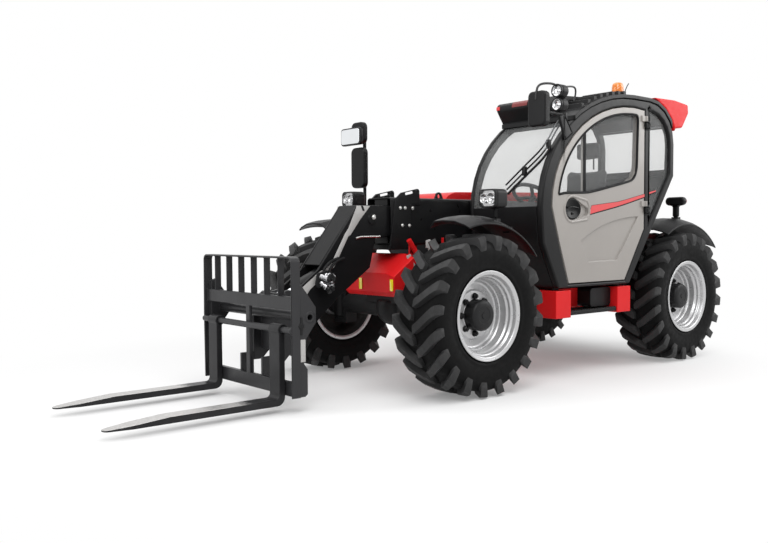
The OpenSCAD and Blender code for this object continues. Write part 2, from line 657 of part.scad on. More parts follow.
module engine_hood() color([0.72, 0.05, 0.06]) {
    z0 = hood_z;
    z1 = axle_z + cover_top;
    difference() {
        hood_shape(0, z0, z1);
        hood_shape(cover_t, z0 - 10, z1);
    }
    // hinge barrels along the inner edge, on the pins of the posts
    for (x = hood_post_x) difference() {
        union() {
            translate([x + 60.5, -hood_hinge_y, hood_hinge_z]) rotate([0, 90, 0]) cylinder(d = 22, h = 60);
            box([x + 60.5, -cab_y0 - 5, hood_hinge_z - 11], [x + 120.5, -hood_hinge_y, hood_hinge_z + 11]);
        }
        translate([x + 50, -hood_hinge_y, hood_hinge_z]) rotate([0, 90, 0])
            cylinder(d = 10 + 2 * fit, h = 80);
    }
}

// the hood's outer or inner form: a long outline crossed with a rounded section
module hood_shape(g, z0, z1) {
    intersection() {
        slab(-cover_y + g, -cab_y0 - g) polygon(concat([[rear_x + 95 + g, z0]],
            arc(rear_x + 345, z1 - 220, 250 - g, 220 - g, 180, 90, 5),
            arc(front_x - 1005, z1 - 160, 220 - g, 130 - g, 75, 0, 5), [[front_x - 785 - g, z0]]));
        run(rear_x, front_x) polygon(concat([[-cover_y + g, z0]],
            arc(-cover_y + 150, z1 - 150, 150 - g, 150 - g, 180, 90, 5),
            arc(-cab_y0 - 60, z1 - 60, 60 - g, 60 - g, 90, 0, 4), [[-cab_y0 - g, z0]]));
    }
}

// Door

module door_panel() color([0.62, 0.60, 0.57]) {
    difference() {
        slab(cab_y1 - 55, cab_y1) polygon(door_out(door_gap));
        slab(cab_y1 - 60, cab_y1 + 1) polygon(door_win(0));
        // soft recess in the lower skin
        slab(cab_y1 - 14, cab_y1 + 1) polygon(concat(
            curve([nose_x - 493, axle_z + 529], [cab_cx + 420, axle_z + 715], [cab_cx - 70, axle_z + 735], 8),
            curve([cab_cx - 66, axle_z + 725], [cab_cx + 40, axle_z + 590], [cab_cx + 242, axle_z + 363], 5),
            curve([nose_x - 601, axle_z + 357], [nose_x - 548, axle_z + 410],
                [nose_x - 500, axle_z + 518], 4)));
        // well of the handle, drawn out to the rear
        slab(cab_y1 - 22, cab_y1 + 1) polygon(concat(
            arc(nose_x - 379, axle_z + 790, 92, 92, -100, 98, 12),
            arc(nose_x - 560, axle_z + 770, 34, 34, 97, 262, 5)));
    }
    bar_y([nose_x - 379, axle_z + 790], 150, cab_y1 - 23, cab_y1 - 4);
    // post across the window
    slab(cab_y1 - 50, cab_y1 - 30) intersection() {
        polygon([[nose_x - 580, axle_z + 895], [nose_x - 550, axle_z + 895],
            [nose_x - 550, roof_z], [nose_x - 580, roof_z]]);
        polygon(door_win(-20));
    }
    // upper parts of the hinges
    for (z = [axle_z + 820.5, axle_z + 1560.5]) difference() {
        union() {
            translate([hinge_x, hinge_y, z]) cylinder(d = 26, h = 50);
            box([hinge_x, cab_y1 - 8, z], [hinge_x + 60, hinge_y, z + 50]);
        }
        translate([hinge_x, hinge_y, z - 1]) cylinder(d = 12 + 2 * fit, h = 60);
    }
}

module door_glass() color([0.14, 0.16, 0.18])
    slab(cab_y1 - 29, cab_y1 - 29 + glass_t) polygon(door_win(seat_gap));

// Boom

module boom_section(w, h, t) difference() {
    polygon(rounded(w, h, 26));
    polygon(rounded(w - 2 * t, h - 2 * t, 16));
}

module outer_boom() color([0.09, 0.09, 0.10]) {
    difference() {
        union() {
            translate([0, 0, boom_z]) run(pivot_x - 150, boom_front) boom_section(boom_w, boom_h, boom_wall);
            // collar round the front end
            pair() slab(boom_w / 2 - 2, boom_w / 2 + 14) polygon([[boom_front - 200, boom_top - 30],
                [boom_front - 38, boom_top - 30], [boom_front + 30, boom_bottom - 35],
                [boom_front - 170, boom_bottom - 35]]);
            box([boom_front - 170, -boom_w / 2, boom_bottom - 35],
                [boom_front + 20, boom_w / 2, boom_bottom + 4]);
            // fins on top of the front end, rising to the rear
            pair() difference() {
                slab(boom_w / 2 - 2, boom_w / 2 + 14) polygon(concat([[boom_front - 40, boom_top - 60],
                    [boom_front - 45, boom_top - 5], [boom_front - 95, boom_top + 36]],
                    arc(boom_front - 270, boom_top + 50, 22, 22, 78, 180, 4),
                    [[boom_front - 295, boom_top - 60]]));
                slab(boom_w / 2 - 5, boom_w / 2 + 20) translate([boom_front - 182, boom_top + 36]) rotate(-11)
                    polygon(rounded(90, 20, 9));
            }
            // lifting eye
            slab(boom_w / 2 - 46, boom_w / 2 - 26) difference() {
                polygon(concat([[front_x - 345, boom_top - 6]],
                    arc(front_x - 395, boom_top + 20, 34, 34, 10, 170, 8),
                    [[front_x - 445, boom_top - 6]]));
                translate([front_x - 395, boom_top + 20]) circle(d = 36);
            }
            // pivot bosses
            pair() bar_y([pivot_x, boom_z], 150, boom_w / 2 - 4, plate_in - seat_gap);
            // ears for the lift cylinder
            pair() slab(lift_eye_w / 2 + 8, lift_eye_w / 2 + 33) polygon(concat(
                arc(lift_eye[0], lift_eye[1], 62, 62, 200, 340, 6),
                [[lift_eye[0] + 150, boom_bottom + 4], [lift_eye[0] - 150, boom_bottom + 4]]));
            // slide pads for the inner boom
            for (x = [boom_front - 150, pivot_x + 420]) {
                pair() box([x, inner_w / 2 + seat_gap, boom_z - 60],
                    [x + 130, boom_w / 2 - boom_wall + 2, boom_z + 60]);
                for (s = [0, 1]) mirror([0, 0, 0]) translate([0, 0, boom_z]) mirror([0, 0, s])
                    box([x, -80, inner_h / 2 + seat_gap], [x + 130, 80, boom_h / 2 - boom_wall + 2]);
            }
        }
        bar_y([pivot_x, boom_z], boom_pin_d + 2 * fit, -boom_w, boom_w);
    }
}

module head_side() polygon(concat(
    [[boom_front + 20, boom_z + inner_h / 2], [front_x + 465, boom_z + inner_h / 2],
     [front_x + 845, axle_z + 330], [front_x + 1030, axle_z + 195], [front_x + 1092, axle_z]],
    arc(head_pin[0], head_pin[1], 78, 78, 30, -130, 8),
    [[front_x + 855, axle_z - 50], [front_x + 675, axle_z + 108], [front_x + 349, axle_z + 335],
     [front_x + 290, boom_z - inner_h / 2], [boom_front + 20, boom_z - inner_h / 2]]));

module inner_boom() color([0.10, 0.10, 0.11]) {
    translate([0, 0, boom_z]) run(pivot_x + 320, boom_front + 60) boom_section(inner_w, inner_h, inner_wall);
    // swan neck: two side plates with webs between
    pair() slab(inner_w / 2 - head_t, inner_w / 2) head_side();
    slab(-inner_w / 2 + head_t, inner_w / 2 - head_t) {
        polygon([[boom_front + 60, boom_z + inner_h / 2 - 16], [front_x + 460, boom_z + inner_h / 2 - 16],
            [front_x + 465, boom_z + inner_h / 2], [boom_front + 60, boom_z + inner_h / 2]]);
        polygon([[front_x + 465, boom_z + inner_h / 2], [front_x + 450, boom_z + inner_h / 2 - 16],
            [front_x + 798, axle_z + 356], [front_x + 815, axle_z + 368]]);
        polygon([[front_x + 290, boom_z - inner_h / 2], [front_x + 349, axle_z + 335],
            [front_x + 675, axle_z + 108], [front_x + 690, axle_z + 126], [front_x + 366, axle_z + 350],
            [front_x + 308, boom_z - inner_h / 2]]);
    }
    // pins of the carriage and of the tilt cylinder
    bar_y(head_pin, head_pin_d, -ear_y - ear_t - 12, ear_y + ear_t + 12);
    bar_y(tilt_base, tilt_pin_d, -inner_w / 2, inner_w / 2);
    // pin boss and hose block on the outer side
    bar_y([front_x + 330, boom_z + 15], 76, inner_w / 2 - 2, inner_w / 2 + 12);
    slab(inner_w / 2, inner_w / 2 + 50) polygon([for (p = rounded(130, 70, 12))
        p + [front_x + 800, axle_z + 260]]);
}

// Cylinders, each drawn along X from its base pin

module lift_barrel() color([0.12, 0.12, 0.13]) along(lift_base, lift_ang) difference() {
    union() {
        bar_y([0, 0], 120, -lift_eye_w / 2, lift_eye_w / 2);
        translate([40, 0, 0]) rotate([0, 90, 0]) cylinder(d = lift_d, h = lift_len - 130);
    }
    bar_y([0, 0], lift_pin_d + 2 * fit, -100, 100);
    translate([120, 0, 0]) rotate([0, 90, 0]) cylinder(d = lift_rod_d + 2 * fit, h = lift_len);
}

module lift_rod() color([0.75, 0.76, 0.78]) along(lift_base, lift_ang) difference() {
    union() {
        translate([125, 0, 0]) rotate([0, 90, 0]) cylinder(d = lift_rod_d, h = lift_len - 145);
        bar_y([lift_len, 0], 104, -lift_eye_w / 2, lift_eye_w / 2);
    }
    bar_y([lift_len, 0], 50, -100, 100);
}

module tilt_barrel() color([0.12, 0.12, 0.13]) along(tilt_base, tilt_ang) difference() {
    union() {
        bar_y([0, 0], 92, -42, 42);
        translate([30, 0, 0]) rotate([0, 90, 0]) cylinder(d = tilt_d, h = tilt_len - 130);
    }
    bar_y([0, 0], tilt_pin_d + 2 * fit, -100, 100);
    translate([80, 0, 0]) rotate([0, 90, 0]) cylinder(d = tilt_rod_d + 2 * fit, h = tilt_len);
}

module tilt_rod() color([0.75, 0.76, 0.78]) along(tilt_base, tilt_ang) difference() {
    union() {
        translate([140, 0, 0]) rotate([0, 90, 0]) cylinder(d = tilt_rod_d, h = tilt_len - 160);
        bar_y([tilt_len, 0], 84, -50, 50);
    }
    bar_y([tilt_len, 0], 40, -100, 100);
}

// Carriage

module headstock() color([0.08, 0.08, 0.09]) {
    x0 = front_x + 1155;
    pair() difference() {
        slab(ear_y, ear_y + ear_t) polygon(concat(
            arc(head_pin[0], head_pin[1], 80, 80, 115, 285, 8),
            [[x0 + 20, axle_z - 320], [hook[0], axle_z - 320], [hook[0], hook[1] + hook_d / 2 + 35],
             [x0, axle_z + 185]]));
        bar_y(head_pin, head_pin_d + 2 * fit, 0, 300);
        bar_y(hook, hook_d + 2 * seat_gap, 0, 300);
    }
    // face plate, and ears beside the eye of the tilt rod
    box([x0, -ear_y, axle_z - 240], [x0 + 25, ear_y, axle_z + 175]);
    pair() slab(58, 80) polygon(concat(arc(tilt_eye[0], tilt_eye[1], 55, 55, 60, 300, 8),
        [[x0 + 5, axle_z + 40], [x0 + 5, axle_z + 175]]));
}

module fork_frame() color([0.08, 0.08, 0.09]) {
    x1 = frame_x;
    // cross bars
    box([x1 - bar_t, -side_y + 12, axle_z + 95], [x1, side_y - 12, axle_z + 185]);
    box([x1 - bar_t - 15, -side_y + 12, axle_z - 480], [x1, side_y - 12, axle_z - 385]);
    // middle bar
    box([x1 - bar_t, -25, axle_z - 480], [x1, 25, axle_z + 185]);
    // bent flat bar: both ends and the top
    run(x1 - 45, x1 + 25) difference() {
        polygon(concat([[side_y, axle_z - 485]], arc(side_y - 40, backrest_z - 40, 40, 40, 0, 90, 5),
            arc(-side_y + 40, backrest_z - 40, 40, 40, 90, 180, 5), [[-side_y, axle_z - 485]]));
        polygon(concat([[side_y - 12, axle_z - 490]], arc(side_y - 40, backrest_z - 40, 28, 28, 0, 90, 5),
            arc(-side_y + 40, backrest_z - 40, 28, 28, 90, 180, 5), [[-side_y + 12, axle_z - 490]]));
    }
    for (i = [1:backrest_bars]) let (y = -side_y + i * carriage_w / (backrest_bars + 1))
        box([x1 - 30, y - 5, axle_z + 185], [x1 + 20, y + 5, backrest_z - 10]);
    // side gussets with a foot, and the hook tube
    pair() slab(side_y - 37, side_y - 12) difference() {
        polygon([[x1 - 20, axle_z + 245], [x1 - 60, axle_z + 265],
            [x1 - 178, axle_z + 110], [x1 - 178, axle_z + 5], [x1 - 100, axle_z - 95],
            [x1 - 80, axle_z - 265], [x1 - 108, axle_z - 300], [x1 - 108, axle_z - 470],
            [x1 - 88, axle_z - 485], [x1 - 20, axle_z - 485]]);
        translate(hook) circle(d = 40);
    }
    difference() {
        bar_y(hook, hook_d, -side_y + 8, side_y - 8);
        bar_y(hook, 40, -side_y, side_y);
    }
    // rod that carries the forks
    bar_y(rod, fork_rod_d, -side_y + 2, side_y - 2);
    // lower stops against the headstock
    pair() box([hook[0] + seat_gap, ear_y, axle_z - 440], [x1 - bar_t, ear_y + ear_t, axle_z - 260]);
}

module fork() {
    x1 = shank_x + fork_t;
    difference() {
        union() {
            intersection() {
                slab(-fork_w / 2, fork_w / 2) polygon(concat(
                    [[x1, rod[1] + 10], [shank_x, rod[1] + 10]],
                    arc(shank_x + 60, fork_z + 60, 60, 60, 180, 270, 6),
                    [[fork_tip, fork_z + 4], [fork_tip, fork_z + 14], [fork_tip - 400, fork_z + fork_t]],
                    arc(x1 + 30, fork_z + fork_t + 30, 30, 30, 270, 180, 4)));
                // tapered and rounded tip
                translate([0, 0, fork_z - 10]) linear_extrude(rod[1] - fork_z + 40) polygon(concat(
                    [[shank_x - 10, -fork_w / 2], [fork_tip - 170, -fork_w / 2]],
                    arc(fork_tip - 40, 0, 40, fork_w / 2 - 22, -90, 90, 6),
                    [[fork_tip - 170, fork_w / 2], [shank_x - 10, fork_w / 2]]));
            }
            bar_y(rod, fork_rod_d + 32, -fork_w / 2, fork_w / 2);
        }
        bar_y(rod, fork_rod_d + 2 * fit, -200, 200);
    }
}

// Every node, placed

placed() {
    chassis_frame();
    rear_weight();
    engine_block();
    engine_panels();
    tank_box();
    step();
    cab_tub();
    cab_frame();
    windshield();
    cab_glass();
    roof();
    roof_fairing();
    seat();
    controls();
    front_fenders();
    rear_fenders();
    lamps();
    beacon();
    mirrors();
    color([0.2, 0.2, 0.21]) axle(front_x);  // front_axle
    color([0.2, 0.2, 0.21]) axle(rear_x);  // rear_axle
    engine_hood();
    door_panel();
    door_glass();
    color([0.18, 0.18, 0.19]) corner(front_x, 1) at_king() knuckle();  // knuckle_fl
    color([0.18, 0.18, 0.19]) corner(front_x, -1) at_king() knuckle();  // knuckle_fr
    color([0.18, 0.18, 0.19]) corner(rear_x, 1) at_king() knuckle();  // knuckle_rl
    color([0.18, 0.18, 0.19]) corner(rear_x, -1) at_king() knuckle();  // knuckle_rr
    color([0.7, 0.7, 0.7]) corner(front_x, 1) at_wheel() rim();  // wheel_fl
    color([0.7, 0.7, 0.7]) corner(front_x, -1) at_wheel() rim();  // wheel_fr
    color([0.7, 0.7, 0.7]) corner(rear_x, 1) at_wheel() rim();  // wheel_rl
    color([0.7, 0.7, 0.7]) corner(rear_x, -1) at_wheel() rim();  // wheel_rr
    color([0.05, 0.05, 0.05]) corner(front_x, 1) at_wheel() tyre();  // tyre_fl
    color([0.05, 0.05, 0.05]) corner(front_x, -1) at_wheel() tyre();  // tyre_fr
    color([0.05, 0.05, 0.05]) corner(rear_x, 1) at_wheel() tyre();  // tyre_rl
    color([0.05, 0.05, 0.05]) corner(rear_x, -1) at_wheel() tyre();  // tyre_rr
    outer_boom();
    inner_boom();
    lift_barrel();
    lift_rod();
    tilt_barrel();
    tilt_rod();
    headstock();
    fork_frame();
    color([0.1, 0.1, 0.11]) translate([0, fork_y, 0]) fork();  // fork_left
    color([0.1, 0.1, 0.11]) translate([0, -fork_y, 0]) fork();  // fork_right
}
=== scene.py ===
import json
import math

import bmesh
import bpy
from mathutils import Matrix, Vector


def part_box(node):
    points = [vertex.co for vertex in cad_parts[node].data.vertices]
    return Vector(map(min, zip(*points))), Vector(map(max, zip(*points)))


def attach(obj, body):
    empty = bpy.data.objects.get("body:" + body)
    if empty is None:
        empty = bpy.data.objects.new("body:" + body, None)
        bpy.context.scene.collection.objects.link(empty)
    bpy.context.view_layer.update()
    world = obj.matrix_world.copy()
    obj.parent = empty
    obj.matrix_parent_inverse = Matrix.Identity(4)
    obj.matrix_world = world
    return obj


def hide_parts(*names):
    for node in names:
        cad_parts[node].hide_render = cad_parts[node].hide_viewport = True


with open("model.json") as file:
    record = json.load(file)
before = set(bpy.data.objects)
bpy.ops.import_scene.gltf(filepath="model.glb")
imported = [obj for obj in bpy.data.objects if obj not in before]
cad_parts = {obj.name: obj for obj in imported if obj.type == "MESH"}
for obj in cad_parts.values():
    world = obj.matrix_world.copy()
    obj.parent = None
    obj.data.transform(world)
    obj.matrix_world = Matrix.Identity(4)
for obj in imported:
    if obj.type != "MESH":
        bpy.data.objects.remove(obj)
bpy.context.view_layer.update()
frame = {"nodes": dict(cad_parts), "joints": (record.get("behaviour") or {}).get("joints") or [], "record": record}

bl_info = {
    "name": "Telescopic handler dressing",
    "version": (1, 0, 0),
    "blender": (4, 5, 0),
    "location": "View3D > Sidebar > Handler",
    "description": "Finishes, trim and stage for the packed telescopic handler",
    "category": "Add Mesh",
}

PIVOT = {joint["name"]: joint["pos_m"] for joint in frame["joints"] if "pos_m" in joint}
# The machine's own frame has its origin on the ground, under the middle of the wheelbase.
SHIFT = (PIVOT["roll_fl"][0] + PIVOT["roll_rl"][0]) / 2
AXLE_X = (PIVOT["roll_fl"][0] - PIVOT["roll_rl"][0]) / 2
AXLE_Z = PIVOT["roll_fl"][2]
WHEEL_Y = abs(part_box("tyre_fl")[0][1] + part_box("tyre_fl")[1][1]) / 2
CORNERS = {"fl": (AXLE_X, 1), "fr": (AXLE_X, -1), "rl": (-AXLE_X, 1), "rr": (-AXLE_X, -1)}
DOOR_FACE = 1.0      # outer face of the door and of the cab's side frame
CLOUDS = 3.0         # scale of the patches of tone on a coated surface
FINISH = {}          # every finish, by the name of its record slot or of the trim it is for
SLOT = {row["node"]: row["material_slot"] for row in frame["record"]["subparts"]}
BODY = {node: body for body, nodes in frame["record"]["behaviour"]["bodies"].items() for node in nodes}


# Materials


class Recipe:
    """A node material under construction: nodes are made by type and wired by socket name."""

    def __init__(self, name):
        self.material = bpy.data.materials.new(name)
        self.material.use_nodes = True
        self.tree = self.material.node_tree
        self.tree.nodes.clear()
        self.out = self.add("OutputMaterial")
        self.coords = None

    def add(self, kind, **settings):
        """A node with its inputs and options set by name. An input's spaces are written as underscores."""
        node = self.tree.nodes.new("ShaderNode" + kind)
        for key, value in settings.items():
            socket = key.replace("_", " ")
            if socket in node.inputs:
                node.inputs[socket].default_value = value
            else:
                setattr(node, key, value)
        return node

    def wire(self, a, socket_a, b, socket_b):
        self.tree.links.new(a.outputs[socket_a], b.inputs[socket_b])
        return b

    def place(self, node):
        """Reads the pattern in the object's own coordinates."""
        if self.coords is None:
            self.coords = self.add("TexCoord")
        return self.wire(self.coords, "Object", node, "Vector")

    def noise(self, scale, detail=3.0, rough=0.55):
        return self.place(self.add("TexNoise", Scale=scale, Detail=detail, Roughness=rough))

    def ramp(self, source, socket, stops):
        node = self.add("ValToRGB")
        band = node.color_ramp
        while len(band.elements) < len(stops):
            band.elements.new(0.5)
        for element, (pos, colour) in zip(band.elements, stops):
            element.position = pos
            element.color = (*colour, 1.0) if hasattr(colour, "__len__") else (colour, colour, colour, 1.0)
        return self.wire(source, socket, node, "Fac")

    def feed(self, pattern, stops, shader, socket):
        """Leads a pattern, graded by stops, into a shader's socket."""
        self.wire(self.ramp(pattern, "Fac", stops), "Color", shader, socket)

    def emboss(self, pattern, strength, distance, shader):
        """Raises a shader's surface by a pattern."""
        bump = self.add("Bump", Strength=strength, Distance=distance)
        self.wire(pattern, "Fac", bump, "Height")
        self.wire(bump, "Normal", shader, "Normal")

    def blend(self, amount, socket, first, second):
        """Mixes two shaders by a grey value."""
        mix = self.wire(amount, socket, self.add("MixShader"), "Fac")
        self.wire(first, 0, mix, 1)
        return self.wire(second, 0, mix, 2)

    def finish(self, shader):
        self.wire(shader, 0, self.out, "Surface")
        return self.material


def tone(colour, gain):
    return tuple(min(1.0, c * gain) for c in colour[:3])


def shades(colour, *stops):
    """Ramp stops that darken or lighten one colour, from places and gains."""
    return [(place, tone(colour, gain)) for place, gain in stops]


def coating(name, colour, rough, coat=0.0, metal=0.0, spread=0.08, grain=420.0, depth=0.0002, spec=0.5):
    """Sprayed or moulded surface: cloudy tone, uneven gloss and fine skin texture."""
    r = Recipe(name)
    shader = r.add("BsdfPrincipled", Metallic=metal, Specular_IOR_Level=spec, Coat_Weight=coat,
        Coat_Roughness=0.08)
    r.feed(r.noise(CLOUDS, 5.0), shades(colour, (0.3, 1 - spread), (0.7, 1 + spread)), shader, "Base Color")
    gloss = [(0.3, rough * 0.85), (0.75, min(1.0, rough * 1.2))]
    r.feed(r.noise(CLOUDS * 6, 4.0), gloss, shader, "Roughness")
    r.emboss(r.noise(grain, 2.0), 0.15, depth, shader)
    return r.finish(shader)


def rubber(name, colour, spec):
    """Tyre rubber: matt, a little dusty, with a fine moulded grain."""
    r = Recipe(name)
    shader = r.add("BsdfPrincipled", Specular_IOR_Level=spec)
    dust = r.noise(5.0, 6.0, 0.65)
    r.feed(dust, shades(colour, (0.35, 0.8), (0.62, 1.0), (0.8, 1.6)), shader, "Base Color")
    r.feed(r.noise(28.0, 4.0), [(0.35, 0.5), (0.7, 0.7)], shader, "Roughness")
    r.emboss(r.noise(260.0, 3.0), 0.5, 0.0006, shader)
    return r.finish(shader)


def pane(name, tint, share, haze):
    """Thin glass: lets tinted light through, with a pale haze, and mirrors the room towards its edges."""
    r = Recipe(name)
    through = r.add("BsdfTransparent", Color=(*tint, 1.0))
    mirror = r.add("BsdfPrincipled", Roughness=0.22, Specular_IOR_Level=0.5)
    skin = shades((0.98, 1.0, 1.0), (0.35, haze * 0.85), (0.7, haze * 1.2))
    r.feed(r.noise(2.5, 3.0), skin, mirror, "Base Color")
    facing = r.add("LayerWeight", Blend=0.2)
    amount = r.ramp(facing, "Facing", [(0.0, share), (0.35, share * 1.5), (1.0, 0.6)])
    return r.finish(r.blend(amount, "Color", through, mirror))


def bright(name, colour, rough, scale=9.0):
    """Bare bright metal with faint wear."""
    r = Recipe(name)
    shader = r.add("BsdfPrincipled", Metallic=1.0)
    r.feed(r.noise(scale, 4.0), shades(colour, (0.3, 0.86), (0.7, 1.0)), shader, "Base Color")
    r.feed(r.noise(140.0, 2.0), [(0.3, rough * 0.7), (0.7, rough * 1.4)], shader, "Roughness")
    return r.finish(shader)


def cloth(name, colour):
    """Woven seat cover: crossed threads with a little sheen."""
    r = Recipe(name)
    shader = r.add("BsdfPrincipled", Roughness=0.85, Sheen_Weight=0.3)
    r.feed(r.noise(14.0, 4.0), shades(colour, (0.3, 0.75), (0.7, 1.25)), shader, "Base Color")
    r.emboss(r.place(r.add("TexWave", Scale=160.0, Distortion=1.0)), 0.4, 0.0006, shader)
    return r.finish(shader)


def lens(name, colour, clear):
    """Moulded lamp lens: fluted, clear-coated and partly see-through."""
    r = Recipe(name)
    through = r.add("BsdfTransparent", Color=(*colour, 1.0))
    shader = r.add("BsdfPrincipled", Roughness=0.1, Coat_Weight=1.0)
    flutes = r.place(r.add("TexWave", Scale=38.0, Distortion=0.4))
    r.feed(flutes, shades(colour, (0.0, 0.8), (1.0, 1.1)), shader, "Base Color")
    r.emboss(flutes, 0.5, 0.0015, shader)
    facing = r.add("LayerWeight", Blend=0.3)
    amount = r.ramp(facing, "Facing", [(0.0, 1 - clear), (1.0, 1.0)])
    return r.finish(r.blend(amount, "Color", through, shader))


def fork_wear_and_sheen(name, colour, start, end):
    """Black fork paint, pale steel on the upper side of the blade towards the tip: partly wear, partly a painted
    reflection of the white room on the blade's top.
    """
    r = Recipe(name)
    paint = r.add("BsdfPrincipled", Roughness=0.34, Specular_IOR_Level=0.18)
    r.feed(r.noise(6.0, 5.0), shades(colour, (0.3, 0.8), (0.7, 1.3)), paint, "Base Color")
    steel = r.add("BsdfPrincipled", Metallic=0.9)
    scratches = r.noise(60.0, 6.0, 0.7)
    r.feed(scratches, [(0.3, (0.42, 0.41, 0.40)), (0.7, (0.62, 0.61, 0.60))], steel, "Base Color")
    r.feed(scratches, [(0.3, 0.3), (0.7, 0.55)], steel, "Roughness")
    along = r.add("MapRange", From_Min=start, From_Max=end)
    r.wire(r.place(r.add("SeparateXYZ")), "X", along, "Value")
    ragged = r.wire(scratches, "Fac", r.add("Math", operation="MULTIPLY_ADD"), 0)
    ragged.inputs[1].default_value = 0.3
    r.wire(along, "Result", ragged, 2)
    # only faces that look up turn pale: a painted reflection of the white room, together with the wear
    level = r.wire(r.add("NewGeometry"), "Normal", r.add("SeparateXYZ"), "Vector")
    top_wear_and_sheen = r.wire(level, "Z", r.add("Math", operation="GREATER_THAN"), 0)
    top_wear_and_sheen.inputs[1].default_value = 0.7
    both = r.wire(ragged, "Value", r.add("Math", operation="MULTIPLY"), 0)
    r.wire(top_wear_and_sheen, "Value", both, 1)
    edge = r.ramp(both, "Value", [(0.2, 0.0), (0.32, 1.0)])
    return r.finish(r.blend(edge, "Color", paint, steel))


def make_finishes(look):
    """Every finish of the machine by the name of its record slot, and the extra trim finishes."""
    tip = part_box("fork_left")[1][0]
    soft = {"grain": 260.0, "depth": 0.00006}
    FINISH.update({
        "red_paint": coating("red_gloss_paint", look.red, 0.36, spread=0.05, spec=0.16, **soft),
        "black_panel": coating("black_moulded_panel", look.black, 0.4, spread=0.15, grain=900.0, depth=0.0004,
            spec=0.15),
        "charcoal_paint": coating("charcoal_cab_paint", look.charcoal, 0.34, spread=0.1, spec=0.16),
        "smoked_glass": pane("smoked_glass", (0.957, 0.958, 0.957), 0.078, 0.5),
        "seat_cover": cloth("woven_seat_cover", (0.035, 0.035, 0.038)),
        "dark_plastic": coating("dark_cab_plastic", (0.03, 0.03, 0.032), 0.6, grain=700.0, depth=0.0006,
            spec=0.25),
        "lamp_housing": coating("lamp_housing_plastic", (0.009, 0.009, 0.0095), 0.38, grain=800.0, spec=0.2),
        "amber_lens": lens("amber_lens", (0.95, 0.27, 0.01), 0.25),
        "grey_paint": coating("warm_grey_door_paint", look.grey, 0.38, coat=0.2, spread=0.03, **soft),
        "engine_metal": coating("engine_casting", (0.16, 0.165, 0.17), 0.6, metal=0.5, grain=120.0,
            depth=0.001),
        "axle_metal": coating("black_axle_paint", (0.012, 0.012, 0.0125), 0.46, spread=0.2, grain=180.0,
            depth=0.0008, spec=0.2),
        "rim_paint": coating("silver_rim_paint", look.silver, 0.3, metal=0.6, coat=0.1, spread=0.03,
            grain=60.0, depth=0.00001),
        "tyre": rubber("tyre_rubber", tone(look.rubber, 0.6), 0.09),
        # the lugs' rubber is lighter and glossier than the carcass's: partly dust, partly a painted highlight on
        # the lugs
        "lugs_dust_and_highlight": rubber("tyre_lugs_dust_and_highlight", tone(look.rubber, 2.4), 0.34),
        "coupling_steel": coating("coupling_steel", (0.42, 0.42, 0.43), 0.28, metal=0.9, spread=0.2,
            grain=90.0),
        "boom_paint": coating("black_boom_paint", look.boom, 0.32, spread=0.12, spec=0.16),
        "cylinder_paint": coating("black_cylinder_paint", look.boom, 0.32, spread=0.12, spec=0.2),
        "rod_chrome": bright("rod_chrome", (0.82, 0.83, 0.85), 0.12),
        # the forks' pale tops are partly wear, partly a painted reflection
        "fork_steel": fork_wear_and_sheen("fork_paint_wear_and_sheen", tone(look.boom, 2.4), tip - 1.02, tip - 0.3),
        "clear_lens": pane("clear_lamp_cover", (0.97, 0.97, 0.97), 0.12, 0.125),
        "reflector": bright("lamp_reflector", (0.93, 0.93, 0.94), 0.08, 60.0),
        "mirror_glass": bright("mirror_glass", (0.86, 0.88, 0.9), 0.03, 2.0),
        "pale_trim": coating("pale_trim", (0.42, 0.41, 0.4), 0.4, spread=0.06),
        "rubber_seal": coating("black_rubber_seal", (0.008, 0.008, 0.0085), 0.6, grain=600.0, depth=0.0004,
            spec=0.15),
        "black_gloss": coating("black_gloss_plastic", (0.0035, 0.0035, 0.0037), 0.2, grain=300.0,
            depth=0.00005, spec=0.12),
        "carriage_paint": coating("black_carriage_paint", tone(look.boom, 3.2), 0.36, spread=0.12, spec=0.3),
        # near black finish of the sleeve inside the rims: painted shade on the inner barrel
        "rim_painted_shade": coating("painted_shade_inside_rim", (0.03, 0.029, 0.028), 0.6, spread=0.2, grain=120.0,
            spec=0.15),
        "zinc_black": coating("black_tube_coating", (0.02, 0.02, 0.021), 0.3, spread=0.1, spec=0.3),
        "yellow_strip": lens("yellow_marker", (0.9, 0.72, 0.03), 0.05),
        "zinc": bright("zinc_fasteners", (0.62, 0.62, 0.6), 0.3, 30.0),
        "amber_strip": lens("amber_marker", (0.95, 0.5, 0.02), 0.1),
        "red_strip": lens("red_marker", (0.6, 0.01, 0.01), 0.1),
        "stripe": coating("red_stripe_film", (0.62, 0.03, 0.035), 0.32, coat=0.4, spread=0.04),
        "dark_red": coating("dark_red_film", (0.16, 0.012, 0.012), 0.4, spread=0.08),
    })


# Forms, all in metres in the machine's own frame


def bridge(bm, loops):
    """Faces from each closed loop of vertices to the next. A loop may be one point, repeated."""
    for low, high in zip(loops, loops[1:]):
        for i in range(len(low)):
            j = (i + 1) % len(low)
            corners = list(dict.fromkeys((low[i], low[j], high[j], high[i])))
            if len(corners) > 2:
                bm.faces.new(corners)
    return bm


def turned(profile, steps=48):
    """A form turned about Z from points of (radius, height)."""
    bm = bmesh.new()
    angles = [2 * math.pi * i / steps for i in range(steps)]
    rings = []
    for radius, height in profile:
        if radius < 1e-6:
            rings.append([bm.verts.new((0.0, 0.0, height))] * steps)
        else:
            rings.append([bm.verts.new((radius * math.cos(a), radius * math.sin(a), height)) for a in angles])
    return bridge(bm, rings)


